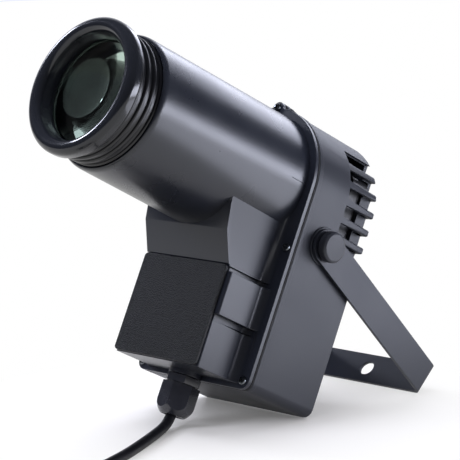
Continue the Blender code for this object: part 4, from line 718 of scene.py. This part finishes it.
# Fan. A square black frame and a seven-bladed rotor sit in the rear shell's pocket, behind the grille.
# Both are moulded in glass-filled nylon, which has a dull shine.
nylon, nylon_shader = start_material("glass_filled_nylon", {"IOR": 1.53})
nylon_drift = grained(nylon, nylon_shader, 0.4, 0.03, 0.35, 0.5, 10.0)
shaded(nylon, nylon_shader, nylon_drift, "#121214", "#1c1c1f")
fan_frame = finished_copy("fan_frame", 0.4)
finish_piece(fan_frame, "fan_housing", "housing", "satin_black_plastic", nylon, "fan_frame")
fan_rotor = finished_copy("fan_rotor", 0.25)
finish_piece(fan_rotor, "fan_blades", "fan", "satin_black_plastic", nylon, "fan_rotor")

# Driver electronics. A green fibreglass board in the block holds a taped transformer and two sleeved
# capacitors, and a smaller one lies behind the control panel. Solder mask gives both a low gloss.
mask_green, green_shader = start_material("green_solder_mask", {"IOR": 1.5})
green_drift = grained(mask_green, green_shader, 1.2, 0.02, 0.25, 0.4, 4.0)
shaded(mask_green, green_shader, green_drift, "#143d24", "#1f5c36")
tape, tape_shader = start_material("polyester_tape", {"IOR": 1.6})
tape_drift = grained(tape, tape_shader, 2.0, 0.05, 0.25, 0.4, 6.0)
shaded(tape, tape_shader, tape_drift, "#b8901c", "#d8b544")
sleeve, sleeve_shader = start_material("shrunk_pvc_sleeve", {"IOR": 1.54})
sleeve_drift = grained(sleeve, sleeve_shader, 1.0, 0.02, 0.2, 0.35, 4.0)
shaded(sleeve, sleeve_shader, sleeve_drift, "#18263d", "#24385a")
for name, coat in (("driver_board", mask_green), ("control_board", mask_green), ("driver_transformer", tape),
                   ("driver_capacitor_1", sleeve), ("driver_capacitor_2", sleeve)):
    coated(name, coat)

# Control panel. A coated steel plate on the rear wall with a smoked display window and four rubber
# keys, each in its own hole.
panel_plate = finished_copy("control_panel", 0.3)
finish_piece(panel_plate, "control_plate", "housing", "painted_shell", satin_coat, "control_panel")
smoked, smoked_shader = start_material("smoked_acrylic", {"IOR": 1.49, "Coat Weight": 0.5})
smoked_drift = grained(smoked, smoked_shader, 4.0, 0.003, 0.04, 0.1, 15.0)
shaded(smoked, smoked_shader, smoked_drift, "#0c0304", "#1a0507")
window = finished_copy("display_window", 0.4)
finish_piece(window, "smoked_window", "housing", "smoked_window", smoked, "display_window")
for name in ("menu", "down", "up", "enter"):
    key = finished_copy(name + "_button", 0.2, least=0.3)
    finish_piece(key, name + "_key", name + "_press", "rubber", rubber, name + "_button")

# Signal sockets. Round three-contact chassis sockets in the fan's black nylon, one with bright brass
# pins in a cup, one with holes, each on a flange against the rear wall.
for name in ("signal_in_socket", "signal_out_socket"):
    socket = finished_copy(name, 0.3)
    finish_piece(socket, name + "_body", "housing", "gloss_black", nylon, name)
pins = finished_copy("signal_in_contacts", 0.15, least=0.5)
finish_piece(pins, "signal_pins", "housing", "brass", brass, "signal_in_contacts")

# Clamp knobs. Plain moulded discs with a smooth face and a rounded rim, each on a steel stud that
# runs through a washer and the bracket's arm into a brass insert.
PIVOT_A = -22.6
PIVOT_D = 29.5
WASHER_FACE = 53.3
WASHER_THICKNESS = 0.8
KNOB_FACE = 54.4
KNOB_THICKNESS = 6.0
KNOB_RADIUS = 9.8
KNOB_FRONT = KNOB_FACE + KNOB_THICKNESS
KNOB_SLOPE = 1.6
KNOB_RIM = 1.2
KNOB_CROWN = 0.15
KNOB_CHAMFER = 0.5
KNOB_BORE_DEPTH = 3.7
WASHER_RADIUS = 6.5
WASHER_FRONT = WASHER_FACE + WASHER_THICKNESS
STUD_BORE = 2.7

knob_abs, knob_shader = start_material("moulded_black_abs", {"IOR": 1.5, "Specular IOR Level": 0.4})
knob_drift = grained(knob_abs, knob_shader, 0.5, 0.02, 0.42, 0.5, 9.0)
shaded(knob_abs, knob_shader, knob_drift, "#24262c", "#2b2d33")
for name, outward in (("left", side), ("right", -side)):
    pivot_place = frame_on(at(0, PIVOT_A, PIVOT_D), outward, forward)
    knob = turned([(KNOB_RADIUS - KNOB_SLOPE, KNOB_FRONT - KNOB_CROWN), (KNOB_RADIUS, KNOB_FRONT - KNOB_RIM),
                   (KNOB_RADIUS, KNOB_FACE + KNOB_CHAMFER), (KNOB_RADIUS - KNOB_CHAMFER, KNOB_FACE),
                   (STUD_BORE, KNOB_FACE), (STUD_BORE, KNOB_FACE + KNOB_BORE_DEPTH)],
                  pivot_place, closed=False, rounding=0.4)
    finish_piece(knob, name + "_clamp_knob", name + "_knob_body", "satin_black_plastic", knob_abs,
                 name + "_knob")
    washer = turned([(STUD_BORE, WASHER_FACE), (WASHER_RADIUS, WASHER_FACE), (WASHER_RADIUS, WASHER_FRONT),
                     (STUD_BORE, WASHER_FRONT)], pivot_place, rounding=0.15, sides=64)
    finish_piece(washer, name + "_flat_washer", name + "_washer_body", "zinc_plated_steel", zinc,
                 name + "_washer")
    coated(name + "_stud", zinc)
    coated(name + "_insert", brass)

# Bracket. One steel bar bent to a U, with rounded ends on the pivots and a clamp hole in its base.
# It is powder coated satin black, with a slight orange peel.
powder_coat, powder_shader = start_material("satin_powder_coat", {"IOR": 1.5, "Specular IOR Level": 0.42})
powder_drift = grained(powder_coat, powder_shader, 1.2, 0.03, 0.42, 0.48, 25.0)
shaded(powder_coat, powder_shader, powder_drift, "#24262e", "#2a2d36")
bracket = finished_copy("bracket", 0.35, least=0.8)
finish_piece(bracket, "bent_bracket", "bracket", "painted_shell", powder_coat, "bracket")

# Cable gland. A nylon body screwed through the block's floor, with a hexagon collar, and a domed
# hexagon nut that squeezes the seal onto the cord. Glossy, with crisp facets.
NUT_CORNER = 12.0
NUT_TIP = 7.8
NUT_START = 137.5
NUT_HEX_END = NUT_START + 11.5
NUT_DOME = 8.4
NUT_LIP = 0.6
NUT_BORE = 8.4
NUT_BORE_DEPTH = 12.0
NUT_FLOOR = 0.6
NUT_EDGE = 0.35
CORD_HOLE = 3.85
NUT_END = NUT_HEX_END + NUT_DOME
NUT_TURN = radians(40)
NUT_CORNER_ANGLE = radians(18)
NUT_STEPS = 10

gland_nylon, gland_shader = start_material("glossy_gland_nylon", {
    "IOR": 1.53, "Coat Weight": 0.3, "Coat Roughness": 0.1})
gland_drift = grained(gland_nylon, gland_shader, 0.8, 0.02, 0.18, 0.28, 6.0)
shaded(gland_nylon, gland_shader, gland_drift, "#26272d", "#313238")
gland_collar = finished_copy("gland_body", 0.35, least=1.2)
finish_piece(gland_collar, "gland_collar", "housing", "satin_black_plastic", gland_nylon, "gland_body")
nut_place = frame_on(at(0, GLAND_A, 0), down, side)
reach = acos(NUT_TIP / NUT_CORNER)
rise = NUT_DOME / sin(reach)
nut_dome = [(NUT_CORNER * cos(reach * step / NUT_STEPS), NUT_HEX_END + rise * sin(reach * step / NUT_STEPS))
            for step in range(NUT_STEPS, -1, -1)]
bore_end = NUT_START + NUT_BORE_DEPTH
nut = turned([(NUT_TIP - NUT_LIP, NUT_END), *nut_dome, (NUT_CORNER, NUT_START), (NUT_BORE, NUT_START),
              (NUT_BORE, bore_end), (CORD_HOLE, bore_end + NUT_FLOOR)], Matrix.Identity(4), sides=96)
bpy.ops.object.select_all(action="DESELECT")
bpy.ops.mesh.primitive_cylinder_add(vertices=6, radius=NUT_CORNER * MM, depth=5 * NUT_CORNER * MM,
                                    rotation=(0, 0, NUT_TURN), location=(0, 0, NUT_END * MM))
facets = bpy.context.object
only(nut)
flats = nut.modifiers.new("flats", "BOOLEAN")
flats.operation = "INTERSECT"
flats.solver = "EXACT"
flats.object = facets
bpy.ops.object.modifier_apply(modifier=flats.name)
bpy.data.objects.remove(facets, do_unlink=True)
worn = nut.modifiers.new("edges", "BEVEL")
worn.width = NUT_EDGE * MM
worn.segments = 3
worn.limit_method = "ANGLE"
worn.angle_limit = NUT_CORNER_ANGLE
bpy.ops.object.modifier_apply(modifier=worn.name)
settled(nut, nut_place)
finish_piece(nut, "domed_nut", "housing", "satin_black_plastic", gland_nylon, "gland_nut")
coated("gland_locknut", gland_nylon)

# Floor and backdrop. A pale seamless studio sweep, which fades to white behind the lamp and keeps
# its soft grey-brown shadow.
FLOOR_SIZE = 12.0
FLOOR_LEVEL = -0.2
FLOOR_LIFT = 0.1
FADE_START = 0.06
FADE_END = 0.19

bpy.ops.object.select_all(action="DESELECT")
bpy.ops.mesh.primitive_plane_add(size=FLOOR_SIZE, location=(0, 0, FLOOR_LEVEL * MM))
floor = bpy.context.object
floor.name = "floor"
floor_paper, floor_shader = start_material("seamless_paper", {"Roughness": 0.9, "Specular IOR Level": 0.1,
                                                             "Base Color": linear("#f1ede4")})
floor_path = add_node(floor_paper, "ShaderNodeLightPath")
floor_seen = add_node(floor_paper, "ShaderNodeMath", {"operation": "MAXIMUM"},
                      {0: floor_path.outputs["Is Camera Ray"], 1: floor_path.outputs["Is Glossy Ray"]})
floor_lit = add_node(floor_paper, "ShaderNodeMath", {"operation": "MAXIMUM"},
                     {0: floor_seen.outputs[0], 1: floor_path.outputs["Is Transmission Ray"]})
floor_lift = add_node(floor_paper, "ShaderNodeMath", {"operation": "MULTIPLY", 1: FLOOR_LIFT},
                      {0: floor_lit.outputs[0]})
floor_glow = add_node(floor_paper, "ShaderNodeEmission", {"Color": linear("#ffffff")},
                      {"Strength": floor_lift.outputs[0]})
floor_sum = add_node(floor_paper, "ShaderNodeAddShader", {},
                     {0: floor_shader.outputs[0], 1: floor_glow.outputs[0]})
floor_white = add_node(floor_paper, "ShaderNodeEmission", {"Color": linear("#ffffff")},
                       {"Strength": floor_lit.outputs[0]})
floor_point = add_node(floor_paper, "ShaderNodeTexCoord").outputs["Object"]
floor_reach = add_node(floor_paper, "ShaderNodeVectorMath", {"operation": "LENGTH"}, {0: floor_point})
floor_fade = add_node(floor_paper, "ShaderNodeMapRange", {"From Min": FADE_START, "From Max": FADE_END},
                      {"Value": floor_reach.outputs["Value"]})
floor_mix = add_node(floor_paper, "ShaderNodeMixShader", {},
                     {0: floor_fade.outputs["Result"], 1: floor_sum.outputs[0], 2: floor_white.outputs[0]})
floor_end = next(node for node in floor_paper.node_tree.nodes if node.type == "OUTPUT_MATERIAL")
floor_paper.node_tree.links.new(floor_mix.outputs[0], floor_end.inputs["Surface"])
floor.data.materials.append(floor_paper)

# Studio light. The lamp stands before a lit white backdrop. A low box and a white card on the floor
# light its right side, a box above the backdrop draws the bright line along its top, and a small window
# lies to its left. The rest of the room is dim, which keeps the black surfaces deep. The last value of
# a box says whether shiny surfaces and the lens mirror it: the front and top boxes only fill shadows.
BACKDROP = Vector((-0.716, 0.684, -0.02))
BACKDROP_EDGE = 0.6
BACKDROP_FULL = 0.85
ROOM_LIGHT = 0.6
ROOM_SEEN = 0.06
LIGHT_TINT = "#e8ecff"
BODY = (0.0, 0.0, 0.12)
SOFT_BOXES = (
    ("side_box", (0.76, 0.56, 0.12), BODY, (0.7, 0.2), 4.8, True),
    ("floor_card", (0.40, 0.25, 0.004), (0.40, 0.25, 1.0), (0.5, 0.35), 1.7, True),
    ("back_box", (-0.35, 1.35, 0.70), BODY, (1.1, 0.35), 5.2, True),
    ("window_box", (-1.35, -0.26, 0.90), BODY, (0.32, 0.2), 6.0, True),
    ("front_box", (-0.6, -1.5, 1.1), BODY, (0.8, 0.8), 15.0, False),
    ("top_box", (-0.3, -0.1, 1.4), BODY, (0.9, 0.9), 11.0, False),
)
world = bpy.data.worlds.new("white_room")
bpy.context.scene.world = world
world.use_nodes = True
world.node_tree.nodes.clear()
path = add_node(world, "ShaderNodeLightPath")
toward = add_node(world, "ShaderNodeTexCoord").outputs["Generated"]
facing = add_node(world, "ShaderNodeVectorMath", {"operation": "DOT_PRODUCT", 1: BACKDROP}, {0: toward})
backdrop = add_node(world, "ShaderNodeMapRange",
                    {"From Min": BACKDROP_EDGE, "From Max": BACKDROP_FULL,
                     "To Min": ROOM_SEEN, "To Max": 1.0},
                    {"Value": facing.outputs["Value"]})
indirect = add_node(world, "ShaderNodeMix", {2: ROOM_LIGHT},
                    {0: path.outputs["Is Glossy Ray"], 3: backdrop.outputs["Result"]})
seen = add_node(world, "ShaderNodeMath", {"operation": "MAXIMUM"},
                {0: path.outputs["Is Camera Ray"], 1: path.outputs["Is Transmission Ray"]})
strength = add_node(world, "ShaderNodeMix", {3: 1.0}, {0: seen.outputs[0], 2: indirect.outputs[0]})
room = add_node(world, "ShaderNodeBackground", {"Color": linear("#f2f4ff")},
                {"Strength": strength.outputs[0]})
add_node(world, "ShaderNodeOutputWorld", {}, {"Surface": room.outputs[0]})

for name, place, aim, (width, height), power, mirrored in SOFT_BOXES:
    light = bpy.data.lights.new(name, "AREA")
    light.shape = "RECTANGLE"
    light.size = width
    light.size_y = height
    light.energy = power
    light.color = linear(LIGHT_TINT)[:3]
    lamp = bpy.data.objects.new(name, light)
    lamp.location = place
    lamp.rotation_euler = (Vector(place) - Vector(aim)).to_track_quat("Z", "Y").to_euler()
    lamp.visible_camera = False
    lamp.visible_glossy = mirrored
    lamp.visible_transmission = mirrored
    bpy.context.scene.collection.objects.link(lamp)

bpy.context.scene.view_settings.view_transform = "Standard"
